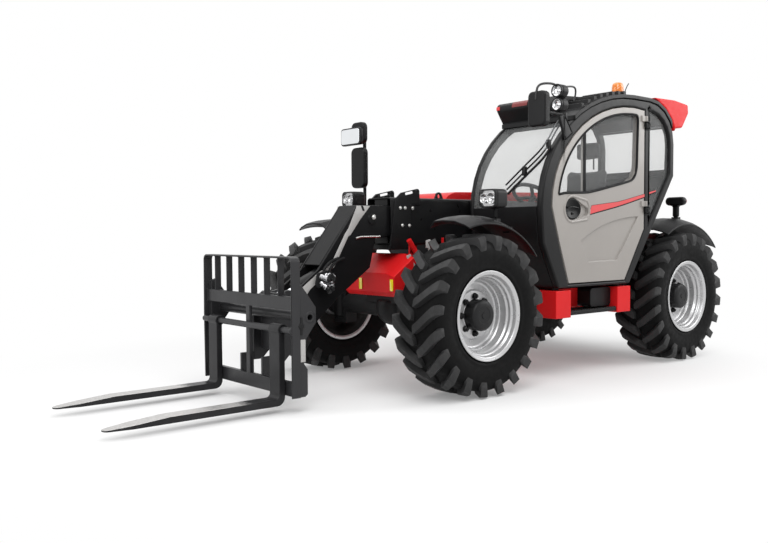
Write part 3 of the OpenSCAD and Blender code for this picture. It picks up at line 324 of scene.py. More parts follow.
def softened(profile, reach, steps=2):
    """A profile with a short curve in place of each corner between its ends."""
    curve = [profile[0]]
    for before, corner, after in zip(profile, profile[1:], profile[2:]):
        corner = Vector(corner)
        back, ahead = Vector(before) - corner, Vector(after) - corner
        start = corner + back.normalized() * min(reach, back.length * 0.45)
        end = corner + ahead.normalized() * min(reach, ahead.length * 0.45)
        for i in range(steps + 1):
            t = i / steps
            curve.append(tuple(start.lerp(corner, t).lerp(corner.lerp(end, t), t)))
    return curve + [profile[-1]]


def moved(form, step):
    bmesh.ops.translate(form, vec=step, verts=form.verts[:])
    return form


def placed(form, matrix):
    bmesh.ops.transform(form, matrix=matrix, verts=form.verts[:])
    return form


def ease(bm, width, segments=2, angle=25.0):
    """Rounds every edge that turns more than the angle."""
    edges = [e for e in bm.edges if len(e.link_faces) == 2 and e.calc_face_angle(0.0) > math.radians(angle)]
    bmesh.ops.bevel(bm, geom=edges, offset=width, offset_type="OFFSET", segments=segments, profile=0.5,
        affect="EDGES", clamp_overlap=False)


def drawn(outline, depth, round_off=0.0):
    """A flat outline of (u, v) points, drawn out along w, with eased edges."""
    bm = bmesh.new()
    near, far = [[bm.verts.new((u, v, w)) for u, v in outline] for w in (0.0, depth)]
    bridge(bm, (near, far))
    bm.faces.new(near[::-1])
    bm.faces.new(far)
    if round_off:
        bm.normal_update()
        ease(bm, round_off)
    return bm


def block(low, high, round_off, segments=2):
    """A box between two corners with eased edges."""
    bm = bmesh.new()
    bmesh.ops.create_cube(bm, size=1.0)
    low, high = Vector(low), Vector(high)
    middle, span = (low + high) / 2, high - low
    placed(bm, Matrix.Translation(middle) @ Matrix.Diagonal((*span, 1.0)))
    ease(bm, round_off, segments)
    return bm


def arc(cu, cv, a, b, start, end, steps):
    """Points of an elliptic arc, by angles in degrees."""
    turns = [math.radians(start + (end - start) * i / steps) for i in range(steps + 1)]
    return [(cu + a * math.cos(t), cv + b * math.sin(t)) for t in turns]


def rounded(w, h, r, steps=4):
    """A rectangle with round corners, about the origin."""
    u, v = w / 2 - r, h / 2 - r
    corners = ((u, v, 0), (-u, v, 90), (-u, -v, 180), (u, -v, 270))
    return [point for cu, cv, start in corners for point in arc(cu, cv, r, r, start, start + 90, steps)]


def laid(form, axis, place=(0.0, 0.0, 0.0), side=1):
    """Turns a form so that its third direction points along an axis, and moves it to its place."""
    cols = {"x": ((0, 1, 0), (0, 0, 1), (side, 0, 0)), "y": ((1, 0, 0), (0, 0, 1), (0, side, 0)),
        "z": ((1, 0, 0), (0, 1, 0), (0, 0, side))}[axis]
    turn = Matrix([[c[i] for c in cols] for i in range(3)]).to_4x4()
    return placed(form, Matrix.Translation(place) @ turn)


def plate(outline, depth, round_off, y, side=1):
    """A plate cut to an outline of the side view, and drawn out sideways from a place across the machine."""
    return laid(drawn(outline, depth, round_off), "y", (0.0, y, 0.0), side)


def card(w, h, r, depth, round_off, place, side=1, axis="x"):
    """A plate with round corners: its width, height, corner, thickness, eased edge and place."""
    return laid(drawn(rounded(w, h, r), depth, round_off), axis, place, side)


def as_mesh(form):
    mesh = bpy.data.meshes.new("form")
    form.to_mesh(mesh)
    form.free()
    return mesh


def joined(*forms):
    """Several forms as one."""
    whole = bmesh.new()
    for form in forms:
        mesh = as_mesh(form) if isinstance(form, bmesh.types.BMesh) else form
        whole.from_mesh(mesh)
        bpy.data.meshes.remove(mesh)
    return whole


def piece(name, form, finish, body, stands_for=(), angle=35.0, shift=SHIFT):
    """Makes a form a finished piece that rides on a body."""
    bmesh.ops.recalc_face_normals(form, faces=form.faces[:])
    mesh = as_mesh(moved(form, (shift, 0.0, 0.0)))
    mesh.name = name
    mesh.materials.clear()
    mesh.materials.append(FINISH[finish])
    mesh.shade_smooth()
    mesh.set_sharp_from_angle(angle=math.radians(angle))
    obj = bpy.data.objects.new(name, mesh)
    bpy.context.scene.collection.objects.link(obj)
    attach(obj, body)
    if stands_for:
        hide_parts(*stands_for)
    return obj


# Geometry Nodes trees for what repeats and for bent tubes


class Growth:
    """A Geometry Nodes tree under construction, ending in Realize Instances and Set Material."""

    def __init__(self, name, sizes):
        self.tree = bpy.data.node_groups.new(name, "GeometryNodeTree")
        sockets = self.tree.interface
        sockets.new_socket("Shape", in_out="INPUT", socket_type="NodeSocketGeometry")
        for label, kind in sizes.items():
            sockets.new_socket(label, in_out="INPUT", socket_type="NodeSocket" + kind)
        sockets.new_socket("Finish", in_out="INPUT", socket_type="NodeSocketMaterial")
        sockets.new_socket("Shape", in_out="OUTPUT", socket_type="NodeSocketGeometry")
        self.head = self.add("NodeGroupInput")

    def add(self, kind, **settings):
        node = self.tree.nodes.new(kind)
        for key, value in settings.items():
            setattr(node, key, value)
        return node

    def wire(self, a, socket_a, b, socket_b):
        self.tree.links.new(a.outputs[socket_a], b.inputs[socket_b])
        return b

    def finish(self, node, socket):
        real = self.wire(node, socket, self.add("GeometryNodeRealizeInstances"), "Geometry")
        coat = self.wire(real, "Geometry", self.add("GeometryNodeSetMaterial"), "Geometry")
        self.wire(self.head, "Finish", coat, "Material")
        self.wire(coat, "Geometry", self.add("NodeGroupOutput"), "Shape")
        return self.tree


def ring_tree():
    """Copies of the shape turned about an axis through the origin."""
    g = Growth("copies_in_a_ring", {"Count": "Int", "Axis": "Vector"})
    spots = g.wire(g.head, "Count", g.add("GeometryNodeMeshLine"), "Count")
    spots.inputs["Offset"].default_value = (0.0, 0.0, 0.0)
    share = g.wire(g.add("GeometryNodeInputIndex"), "Index", g.add("ShaderNodeMath", operation="DIVIDE"), 0)
    g.wire(g.head, "Count", share, 1)
    turn = g.wire(share, "Value", g.add("ShaderNodeMath", operation="MULTIPLY"), 0)
    turn.inputs[1].default_value = 2 * math.pi
    about = g.wire(g.head, "Axis", g.add("ShaderNodeVectorMath", operation="SCALE"), 0)
    g.wire(turn, "Value", about, "Scale")
    spin = g.wire(about, "Vector", g.add("FunctionNodeEulerToRotation"), "Euler")
    copies = g.wire(spots, "Mesh", g.add("GeometryNodeInstanceOnPoints"), "Points")
    g.wire(g.head, "Shape", copies, "Instance")
    g.wire(spin, "Rotation", copies, "Rotation")
    return g.finish(copies, "Instances")


def row_tree():
    """Copies of the shape in a straight row."""
    g = Growth("copies_in_a_row", {"Count": "Int", "Step": "Vector"})
    spots = g.wire(g.head, "Count", g.add("GeometryNodeMeshLine"), "Count")
    g.wire(g.head, "Step", spots, "Offset")
    copies = g.wire(spots, "Mesh", g.add("GeometryNodeInstanceOnPoints"), "Points")
    g.wire(g.head, "Shape", copies, "Instance")
    return g.finish(copies, "Instances")


def tube_tree():
    """A round tube along a smooth path through the shape's points."""
    g = Growth("bent_tube", {"Radius": "Float", "Sides": "Int", "Steps": "Int"})
    path = g.wire(g.head, "Shape", g.add("GeometryNodeMeshToCurve"), "Mesh")
    soft = g.wire(path, "Curve", g.add("GeometryNodeCurveSplineType", spline_type="CATMULL_ROM"), "Curve")
    even = g.wire(soft, "Curve", g.add("GeometryNodeResampleCurve"), "Curve")
    g.wire(g.head, "Steps", even, "Count")
    ring = g.wire(g.head, "Radius", g.add("GeometryNodeCurvePrimitiveCircle"), "Radius")
    g.wire(g.head, "Sides", ring, "Resolution")
    skin = g.wire(even, "Curve", g.add("GeometryNodeCurveToMesh"), "Curve")
    g.wire(ring, "Curve", skin, "Profile Curve")
    skin.inputs["Fill Caps"].default_value = True
    return g.finish(skin, "Mesh")


TREES = {"ring": ring_tree(), "row": row_tree(), "tube": tube_tree()}


def grown(tree, form, finish, **sizes):
    """The mesh that a tree makes from a form."""
    obj = bpy.data.objects.new("growing", as_mesh(form))
    bpy.context.scene.collection.objects.link(obj)
    growth = obj.modifiers.new("growth", "NODES")
    growth.node_group = TREES[tree]
    values = dict(sizes, Finish=FINISH[finish])
    for item in TREES[tree].interface.items_tree:
        if item.in_out == "INPUT" and item.name in values:
            growth[item.identifier] = values[item.name]
    depsgraph = bpy.context.evaluated_depsgraph_get()
    baked = bpy.data.meshes.new_from_object(obj.evaluated_get(depsgraph), depsgraph=depsgraph)
    obj.modifiers.remove(growth)
    bpy.data.objects.remove(obj)
    if not baked.polygons:
        raise RuntimeError("nothing grew from tree " + tree)
    return baked


def ring_of(form, count, axis, finish):
    return grown("ring", form, finish, Count=count, Axis=axis)


def row_of(form, count, step, finish):
    return grown("row", form, finish, Count=count, Step=step)


def tube(points, radius, finish, sides=12):
    """A bent tube through points."""
    path = bmesh.new()
    spots = [path.verts.new(p) for p in points]
    for a, b in zip(spots, spots[1:]):
        path.edges.new((a, b))
    return grown("tube", path, finish, Radius=radius, Sides=sides, Steps=10 * (len(points) - 1) + 1)


# Sizes and colours


def colour(name, description, default):
    return bpy.props.FloatVectorProperty(name=name, description=description, default=default, size=3,
        subtype="COLOR")


def length(name, description, default):
    return bpy.props.FloatProperty(name=name, description=description, default=default, unit="LENGTH")


def turn_by(name, description, default):
    return bpy.props.FloatProperty(name=name, description=description, default=default, subtype="ANGLE")


class HandlerLook(bpy.types.PropertyGroup):
    """Colours of the machine's finishes."""

    red: colour("Red", "Gloss paint of frame, hood and fairing", (0.62, 0.012, 0.014))
    black: colour("Panel black", "Moulded panels, fenders and mirrors", (0.008, 0.008, 0.0085))
    charcoal: colour("Charcoal", "Cab frame and roof", (0.010, 0.010, 0.0105))
    grey: colour("Door grey", "Warm grey of the door", (0.275, 0.256, 0.238))
    silver: colour("Rim silver", "Paint of the rims", (0.50, 0.50, 0.505))
    rubber: colour("Rubber", "Tyres", (0.007, 0.007, 0.0072))
    boom: colour("Boom black", "Boom, carriage and forks", (0.007, 0.007, 0.0075))


class HandlerTrim(bpy.types.PropertyGroup):
    """Sizes of the trim that is added to the machine."""

    lugs: bpy.props.IntProperty(name="Lugs", description="Tread lugs on each half of a tyre", default=20,
        min=12, max=30)
    nuts: bpy.props.IntProperty(name="Wheel nuts", description="Nuts on each wheel", default=8, min=4, max=12)
    nut_circle: length("Nut circle", "Radius of the circle of the wheel nuts", 0.1375)
    edge: length("Edge radius", "Rounding of plate edges", 0.004)
    frame_edge: length("Cab edge radius", "Rounding of the cab's side frames", 0.016)
    guard_tube: length("Guard tube", "Radius of the mirror guard's tube", 0.009)
    pad_swell: length("Pad swell", "How far a seat pad may swell", 0.022)


class HandlerStage(bpy.types.PropertyGroup):
    """Camera and light."""

    eye: bpy.props.FloatVectorProperty(name="Camera place", description="Camera in the machine's own frame",
        subtype="TRANSLATION", unit="LENGTH", size=3, default=(5.7441, 5.105, 1.1949))
    yaw: turn_by("Camera heading", "Heading of the view", -2.27)
    pitch: turn_by("Camera pitch", "Tilt of the view", -0.0461)
    roll: turn_by("Camera roll", "Roll of the view", -0.0056)
    focal: bpy.props.FloatProperty(name="Focal length", description="Lens in millimetres on a 36 mm sensor",
        default=38.764)
    key: bpy.props.FloatProperty(name="Key light", description="Power of the main soft box", default=330.0,
        subtype="POWER")


# Operators


class HANDLER_OT_finishes(bpy.types.Operator):
    """Gives every CAD node its finish"""

    bl_idname = "handler.finishes"
    bl_label = "Finishes"

    def execute(self, context):
        make_finishes(context.scene.handler_look)
        for name, obj in frame["nodes"].items():
            obj.data.materials.clear()
            obj.data.materials.append(FINISH[SLOT[name]])
        return {"FINISHED"}


class HANDLER_OT_edges(bpy.types.Operator):
    """Copies plates, frames and castings with their edges rounded"""

    bl_idname = "handler.edges"
    bl_label = "Rounded edges"

    PLATES = ("chassis_frame", "rear_weight", "tank_box", "step", "headstock", "fork_frame", "fork_left",
        "fork_right", "outer_boom", "inner_boom", "engine_hood", "door_panel", "roof", "front_fenders",
        "rear_fenders", "engine_panels", "cab_tub", "controls")
    MOULDED = ("cab_frame", "roof_fairing", "mirrors", "lamps")

    def execute(self, context):
        trim = context.scene.handler_trim
        for node in self.PLATES:
            self.rounded_copy(node, trim.edge, 2)
        for node in self.MOULDED:
            self.rounded_copy(node, trim.frame_edge, 3)
        return {"FINISHED"}

    def rounded_copy(self, node, width, segments):
        bm = bmesh.new()
        bm.from_mesh(frame["nodes"][node].data)
        bmesh.ops.remove_doubles(bm, verts=bm.verts[:], dist=2e-5)
        ease(bm, width, segments, 28.0)
        finish = "carriage_paint" if node in ("fork_frame", "headstock") else SLOT[node]
        obj = piece(node + "_form", bm, finish, BODY[node], [node], angle=60.0, shift=0.0)
        even = obj.modifiers.new("even_normals", "WEIGHTED_NORMAL")
        even.weight = 60


class HANDLER_OT_tyres(bpy.types.Operator):
    """Builds the four tyres: a turned carcass with a ring of lugs on each half"""

    bl_idname = "handler.tyres"
    bl_label = "Tyres"

    # half section from the bead to the crown: radius and distance from the middle
    SECTION = [(0.3095, 0.140), (0.3075, 0.172), (0.330, 0.1795), (0.338, 0.186), (0.350, 0.1945),
        (0.360, 0.197), (0.370, 0.1955), (0.384, 0.200), (0.410, 0.2055), (0.440, 0.209), (0.475, 0.2085),
        (0.505, 0.2015), (0.527, 0.191), (0.541, 0.172), (0.551, 0.120), (0.556, 0.060), (0.557, 0.0)]
    # along a lug, from the middle of the tread to its end on the side wall: radius and place of its top,
    # radius and place of its foot, turn, and half of its width at the top and at the foot, in degrees
    LUG = [(0.588, 0.004, 0.550, 0.000, 0.6, 1.6, 3.2), (0.5945, 0.016, 0.550, 0.010, 0.0, 2.9, 4.3),
        (0.595, 0.060, 0.549, 0.060, -2.6, 3.0, 4.5), (0.5945, 0.105, 0.546, 0.105, -5.9, 3.1, 4.6),
        (0.592, 0.150, 0.541, 0.148, -9.4, 3.3, 4.8), (0.588, 0.190, 0.530, 0.178, -12.4, 3.5, 4.9),
        (0.580, 0.2105, 0.520, 0.188, -13.8, 3.6, 4.9), (0.562, 0.2150, 0.508, 0.194, -14.4, 3.6, 4.8),
        (0.520, 0.2150, 0.488, 0.198, -14.8, 3.4, 4.5), (0.490, 0.2125, 0.470, 0.202, -15.0, 3.1, 4.0),
        (0.478, 0.2088, 0.464, 0.204, -15.0, 2.9, 3.6)]
    # the half of the tread, and where its ring of lugs starts as a share of the step between lugs
    HALVES = ((1, 0.35), (-1, 0.85))

    def execute(self, context):
        count = context.scene.handler_trim.lugs
        for name, (x, side) in CORNERS.items():
            section = self.SECTION + [(r, -y) for r, y in reversed(self.SECTION[:-1])]
            carcass = laid(turned(section + section[:1], 96), "y")
            lugs = joined(*[ring_of(self.lug(half, start * 360 / count), count, (0.0, 1.0, 0.0), "tyre")
                for half, start in self.HALVES])
            place = Matrix.Translation((x, side * WHEEL_Y, AXLE_Z)) @ Matrix.Diagonal((1.0, side, 1.0, 1.0))
            # the lugs take the lighter rubber: painted highlight on the lugs, besides dust
            for part, form, finish in (("carcass", carcass, "tyre"), ("lugs", lugs, "lugs_dust_and_highlight")):
                label = "tyre_" + name + "_" + part
                piece(label, placed(form, place), finish, "roll_" + name, ["tyre_" + name])
        return {"FINISHED"}

    def lug(self, half, start):
        bm = bmesh.new()
        rows = []
        for top_r, top_y, foot_r, foot_y, turn, top, foot in self.LUG:
            corners = ((foot_r, foot_y, -foot), (top_r, top_y, -top), (top_r, top_y, top),
                (foot_r, foot_y, foot))
            row = []
            for r, y, spread in corners:
                a = math.radians(start + turn + spread)
                row.append(bm.verts.new((r * math.sin(a), half * y, r * math.cos(a))))
            rows.append(row)
        bridge(bm, rows)
        bm.faces.new(rows[0])
        bm.faces.new(rows[-1])
        return bm


class HANDLER_OT_hubs(bpy.types.Operator):
    """Turns the rims with soft steps and a dark inner sleeve of painted shade, and adds the black hub caps and the
    wheel nuts
    """

    bl_idname = "handler.hubs"
    bl_label = "Rims, hub caps and nuts"

    # profiles: radius, and distance outwards from the wheel's middle
    RIM = [(0.0, 0.0760), (0.0601, 0.0760), (0.0601, -0.062), (0.1200, -0.062), (0.1200, 0.004),
        (0.240, 0.004), (0.256, -0.026), (0.268, -0.111), (0.290, -0.135), (0.296, -0.193), (0.330, -0.197),
        (0.330, -0.187), (0.306, -0.183), (0.302, -0.137), (0.280, -0.117), (0.268, -0.020), (0.268, 0.020),
        (0.280, 0.117), (0.302, 0.137), (0.306, 0.183), (0.326, 0.186), (0.331, 0.192), (0.326, 0.198),
        (0.314, 0.1935), (0.298, 0.1905), (0.292, 0.153), (0.280, 0.147), (0.278, 0.125), (0.265, 0.111),
        (0.262, 0.062), (0.250, 0.054), (0.248, 0.030), (0.234, 0.022), (0.1855, 0.030), (0.1775, 0.042),
        (0.1130, 0.042), (0.1130, 0.122), (0.0990, 0.140), (0.0, 0.140)]
    RIM_CORNER = 0.007
    # a thin dark sleeve on the inner half of the barrel and the back of the disc: painted shade inside the rim
    SHADE_SLEEVE = [(0.2955, -0.1915), (0.2895, -0.1350), (0.2675, -0.1110), (0.2555, -0.0262), (0.2395, 0.0032),
        (0.1125, 0.0032), (0.1125, 0.0018), (0.2385, 0.0018), (0.2543, -0.0270), (0.2660, -0.1120),
        (0.2880, -0.1360), (0.2940, -0.1915), (0.2955, -0.1915)]
    CAP = [(0.1145, 0.0425), (0.1145, 0.117), (0.112, 0.127), (0.106, 0.1355), (0.096, 0.1412),
        (0.062, 0.1425), (0.060, 0.1405), (0.024, 0.1405), (0.022, 0.1445), (0.0, 0.1450)]
    # washer, nut and stud, each with its number of sides
    NUT = (([(0.0, 0.0405), (0.0245, 0.0405), (0.0235, 0.0455), (0.0, 0.0455)], 24),
        ([(0.0, 0.0455), (0.0205, 0.0455), (0.0205, 0.063), (0.0165, 0.0665), (0.0, 0.0665)], 6),
        ([(0.0, 0.066), (0.0105, 0.066), (0.0105, 0.0735), (0.0085, 0.0755), (0.0, 0.0755)], 16))

    def execute(self, context):
        trim = context.scene.handler_trim
        for name, (x, side) in CORNERS.items():
            body = "roll_" + name
            spot = (x, side * WHEEL_Y, AXLE_Z)
            rim = laid(turned(softened(self.RIM, self.RIM_CORNER), 96), "y", spot, side)
            node = "wheel_" + name
            piece(node + "_form", rim, "rim_paint", body, [node], angle=60.0)
            nut = joined(*[turned(profile, sides) for profile, sides in self.NUT])
            nuts = ring_of(moved(nut, (trim.nut_circle, 0.0, 0.0)), trim.nuts, (0.0, 0.0, 1.0), "axle_metal")
            hub = laid(joined(turned(self.CAP, 64), nuts), "y", spot, side)
            piece("hub_" + name, hub, "lamp_housing", body)
            # the dark sleeve inside the rim: painted shade
            shade_sleeve = laid(turned(self.SHADE_SLEEVE, 64), "y", spot, side)
            bmesh.ops.remove_doubles(shade_sleeve, verts=shade_sleeve.verts[:], dist=1e-6)
            piece("rim_painted_shade_" + name, shade_sleeve, "rim_painted_shade", body)
        return {"FINISHED"}


class HANDLER_OT_door_trim(bpy.types.Operator):
    """Adds the door's and the fixed pane's gaskets, the post cover, the stripe and the round handle"""

    bl_idname = "handler.door_trim"
    bl_label = "Door trim"

    # outlines in the side view: the door's window, the fixed pane behind it and the window's post
    WINDOW = arc(-0.535, 1.4, 1.035, 0.806, 7, 91, 16) + [(-0.579, 2.203), (-0.593, 2.190), (-0.599, 2.165),
        (-0.5985, 2.12), (-0.5925, 1.95), (-0.586, 1.78), (-0.578, 1.730), (-0.557, 1.683), (-0.52, 1.649),
        (-0.45, 1.626), (-0.18, 1.572), (0.087, 1.523), (0.250, 1.513), (0.402, 1.507), (0.470, 1.497)]
    QUARTER = [(-0.775, 2.265)] + arc(-0.78, 1.99, 0.33, 0.275, 100, 180, 8) + [(-1.11, 1.722),
        (-0.775, 1.263)]
    POST = [(0.115, 1.526), (0.149, 1.520), (0.149, 2.028), (0.115, 2.052)]
    # edges of the stripe, from the front to its tip
    UPPER = [(0.062, 1.416), (-0.335, 1.457), (-0.712, 1.531), (-0.928, 1.571)]
    LOWER = [(0.110, 1.331), (-0.336, 1.411), (-0.713, 1.495), (-0.928, 1.548)]
    # the handle's middle, its dish and lock, the edge of its grip and the lip round it
    HANDLE = (0.316, 1.382)
    DISH = [(0.0, -0.018), (0.0775, -0.018), (0.0775, 0.0005), (0.0755, 0.0045), (0.0705, 0.0055),
        (0.066, 0.0045), (0.062, 0.0015), (0.0, 0.0010)]
    LOCK = [(0.0, 0.0), (0.010, 0.0), (0.010, 0.005), (0.007, 0.006), (0.0, 0.006)]
    GRIP = arc(0.0, 0.0, 0.056, 0.020, 20, 160, 8) + arc(0.0, -0.004, 0.056, 0.013, 160, 20, 8)
    LIP = arc(*HANDLE, 0.104, 0.104, -100, 98, 16) + arc(0.150, 1.376, 0.056, 0.080, 100, 258, 9)

    def execute(self, context):
        gasket = self.around(self.WINDOW, DOOR_FACE - 0.003, 0.011, "rubber_seal", 8)
        post = plate(self.POST, 0.005, 0.0015, 0.976)
        piece("door_gasket", joined(gasket, post), "rubber_seal", "door")
        seal = self.around(self.QUARTER, 0.9745, 0.009, "rubber_seal", 8)
        piece("quarter_gasket", joined(seal), "rubber_seal", "chassis")
        self.stripe("door_stripe", 0.11, -0.702, DOOR_FACE - 0.0005, "door")
        self.stripe("quarter_stripe", -0.722, -0.925, 0.9725, "chassis")
        self.handle()
        return {"FINISHED"}

    def around(self, outline, y, radius, finish, sides):
        """A tube that follows an outline back to its start."""
        return tube([(x, y, z) for x, z in outline + outline[:1]], radius, finish, sides)

    def level(self, line, x):
        """Height of a bent line at a place along the door."""
        for (x0, z0), (x1, z1) in zip(line, line[1:]):
            if x >= x1 or (x1, z1) == line[-1]:
                return z0 + (z1 - z0) * (x - x0) / (x1 - x0)

    def stripe(self, name, front, rear, face, body):
        """The long tapered stripe: a dark backing with the red film on it."""
        spots = [front + (rear - front) * i / 8 for i in range(9)]
        slant = 0.045 if front > 0.0 else 0.0
        leaned = [x - slant * (1 - i / 8) for i, x in enumerate(spots)]
        tops = [(x, self.level(self.UPPER, x)) for x in leaned]
        lows = [(x, self.level(self.LOWER, x)) for x in spots]
        backing = plate(lows + tops[::-1], 0.0016, 0.0, face)
        piece(name + "_backing", backing, "rubber_seal", body)
        inset = [(x - 0.012 if i == 0 else x, z + 0.010) for i, (x, z) in enumerate(lows)] \
            + [(x, z - 0.003) for x, z in tops[::-1]]
        piece(name, plate(inset, 0.0012, 0.0, face + 0.0014), "stripe", body)

    def handle(self):
        """Black dished plate with a thumb recess, a turned rim and a grey lip on the door."""
        lock = moved(turned(self.LOCK, 20), (0.0, -0.034, 0.0))
        whole = joined(turned(self.DISH, 48), drawn(self.GRIP, 0.012, 0.003), lock)
        bmesh.ops.scale(whole, vec=(1.42, 1.06, 1.0), verts=whole.verts[:])
        x, z = self.HANDLE
        piece("door_handle", laid(whole, "y", (x, 0.9965, z)), "black_gloss", "door")
        bezel = self.around(self.LIP, DOOR_FACE - 0.006, 0.014, "grey_paint", 12)
        piece("handle_bezel", joined(bezel), "grey_paint", "door")


class HANDLER_OT_cab_trim(bpy.types.Operator):
    """Adds the wiper, the mirror guard, the mirrors' glass, the visor's films and the aerial"""

    bl_idname = "handler.cab_trim"
    bl_label = "Cab trim"

    # paths of bent tubes
    GUARD = [(0.47, 1.012, 2.272), (0.51, 1.012, 2.318), (0.58, 1.010, 2.342), (0.68, 1.000, 2.336),
        (0.735, 0.992, 2.312), (0.752, 0.987, 2.265), (0.754, 0.985, 2.21)]
    LAMP_LOOP = [(0.47, 1.02, 2.33), (0.36, 1.02, 2.345), (0.31, 1.015, 2.335), (0.30, 1.01, 2.29),
        (0.315, 1.004, 2.24)]
    AERIAL = [(-0.615, 0.84, 2.36), (-0.63, 0.84, 2.42), (-0.66, 0.84, 2.475), (-0.69, 0.84, 2.51)]
    WIPER = [(0.366, 0.962, 2.085), (0.468, 0.962, 1.985), (0.556, 0.952, 1.862), (0.600, 0.908, 1.778),
        (0.650, 0.788, 1.657), (0.686, 0.637, 1.522)]
    AERIAL_FOOT = [(0.0, 0.0), (0.018, 0.0), (0.014, 0.014), (0.006, 0.022), (0.0, 0.022)]
    # mirror glasses that look back: width, height, corner and place
    MIRRORS = ((0.150, 0.246, 0.030, (0.6865, 0.985, 2.14)), (0.166, 0.342, 0.038, (0.9765, -0.87, 1.795)),
        (0.156, 0.174, 0.038, (0.9765, -0.87, 2.11)))
    # films round the visor's nose: start and end across the cab, low and high angle, finish
    FILMS = {"visor_film": (0.40, 0.565, -5, 62, "dark_red"),
        "visor_marker": (0.2255, 0.262, -14, 22, "stripe")}
    NOSE = (0.3163, 2.258)

    def execute(self, context):
        trim = context.scene.handler_trim
        self.wiper()
        guard = tube(self.GUARD, trim.guard_tube, "zinc_black")
        loop = tube(self.LAMP_LOOP, trim.guard_tube * 0.8, "zinc_black")
        piece("mirror_guard", joined(guard, loop), "zinc_black", "chassis")
        aerial = tube(self.AERIAL, 0.004, "lamp_housing", 8)
        foot = laid(turned(self.AERIAL_FOOT, 20), "z", (-0.615, 0.84, 2.352))
        piece("aerial", joined(aerial, foot), "lamp_housing", "chassis")
        glasses = [card(w, h, r, 0.004, 0.0015, place, -1) for w, h, r, place in self.MIRRORS]
        piece("mirror_glass", joined(*glasses), "mirror_glass", "chassis")
        self.front_mirror()
        self.visor_films()
        return {"FINISHED"}

    def wiper(self):
        """Two links down the post, two arms that follow them, and the blade across the windshield. The links' grey
        metal is a painted highlight on the wiper's upper part.
        """
        path = [Vector(p) for p in self.WIPER]
        offset = Vector((0.010, 0.0, 0.030))
        # grey metal on the links, black on the arms: painted highlight along the wiper's upper part
        links = [tube([p + offset * k for p in path[:4]], 0.0065, "engine_metal", 8) for k in (0.6, 1.8)]
        piece("wiper_links", joined(*links), "engine_metal", "chassis")
        arms = [tube([p + offset * k for p in path[2:]], 0.0070, "lamp_housing", 8) for k in (0.6, 1.8)]
        blade = tube([p - offset * 0.55 for p in path[2:]], 0.010, "lamp_housing", 8)
        bridges = [block(p - Vector((0.012, 0.016, 0.012)), p + Vector((0.020, 0.016, 0.060)), 0.005)
            for p in (path[0], path[2], path[4])]
        piece("wiper", joined(*arms, blade, *bridges), "lamp_housing", "chassis")

    def front_mirror(self):
        """The mirror that looks ahead, on the right mirror's head."""
        shell = card(0.290, 0.160, 0.030, 0.040, 0.010, (1.034, -0.918, 2.080))
        glass = card(0.262, 0.134, 0.022, 0.004, 0.0015, (1.0735, -0.918, 2.080))
        piece("front_mirror_shell", shell, "lamp_housing", "chassis")
        piece("front_mirror_glass", glass, "mirror_glass", "chassis")

    def visor_films(self):
        """A dark film on the middle of the visor's nose and a bright marker at its end."""
        for name, (start, end, low, high, finish) in self.FILMS.items():
            outer = arc(*self.NOSE, 0.0465, 0.0485, low, high, 6)
            inner = arc(*self.NOSE, 0.0430, 0.0450, high, low, 6)
            piece(name, plate(outer + inner, end - start, 0.0, start), finish, "chassis")


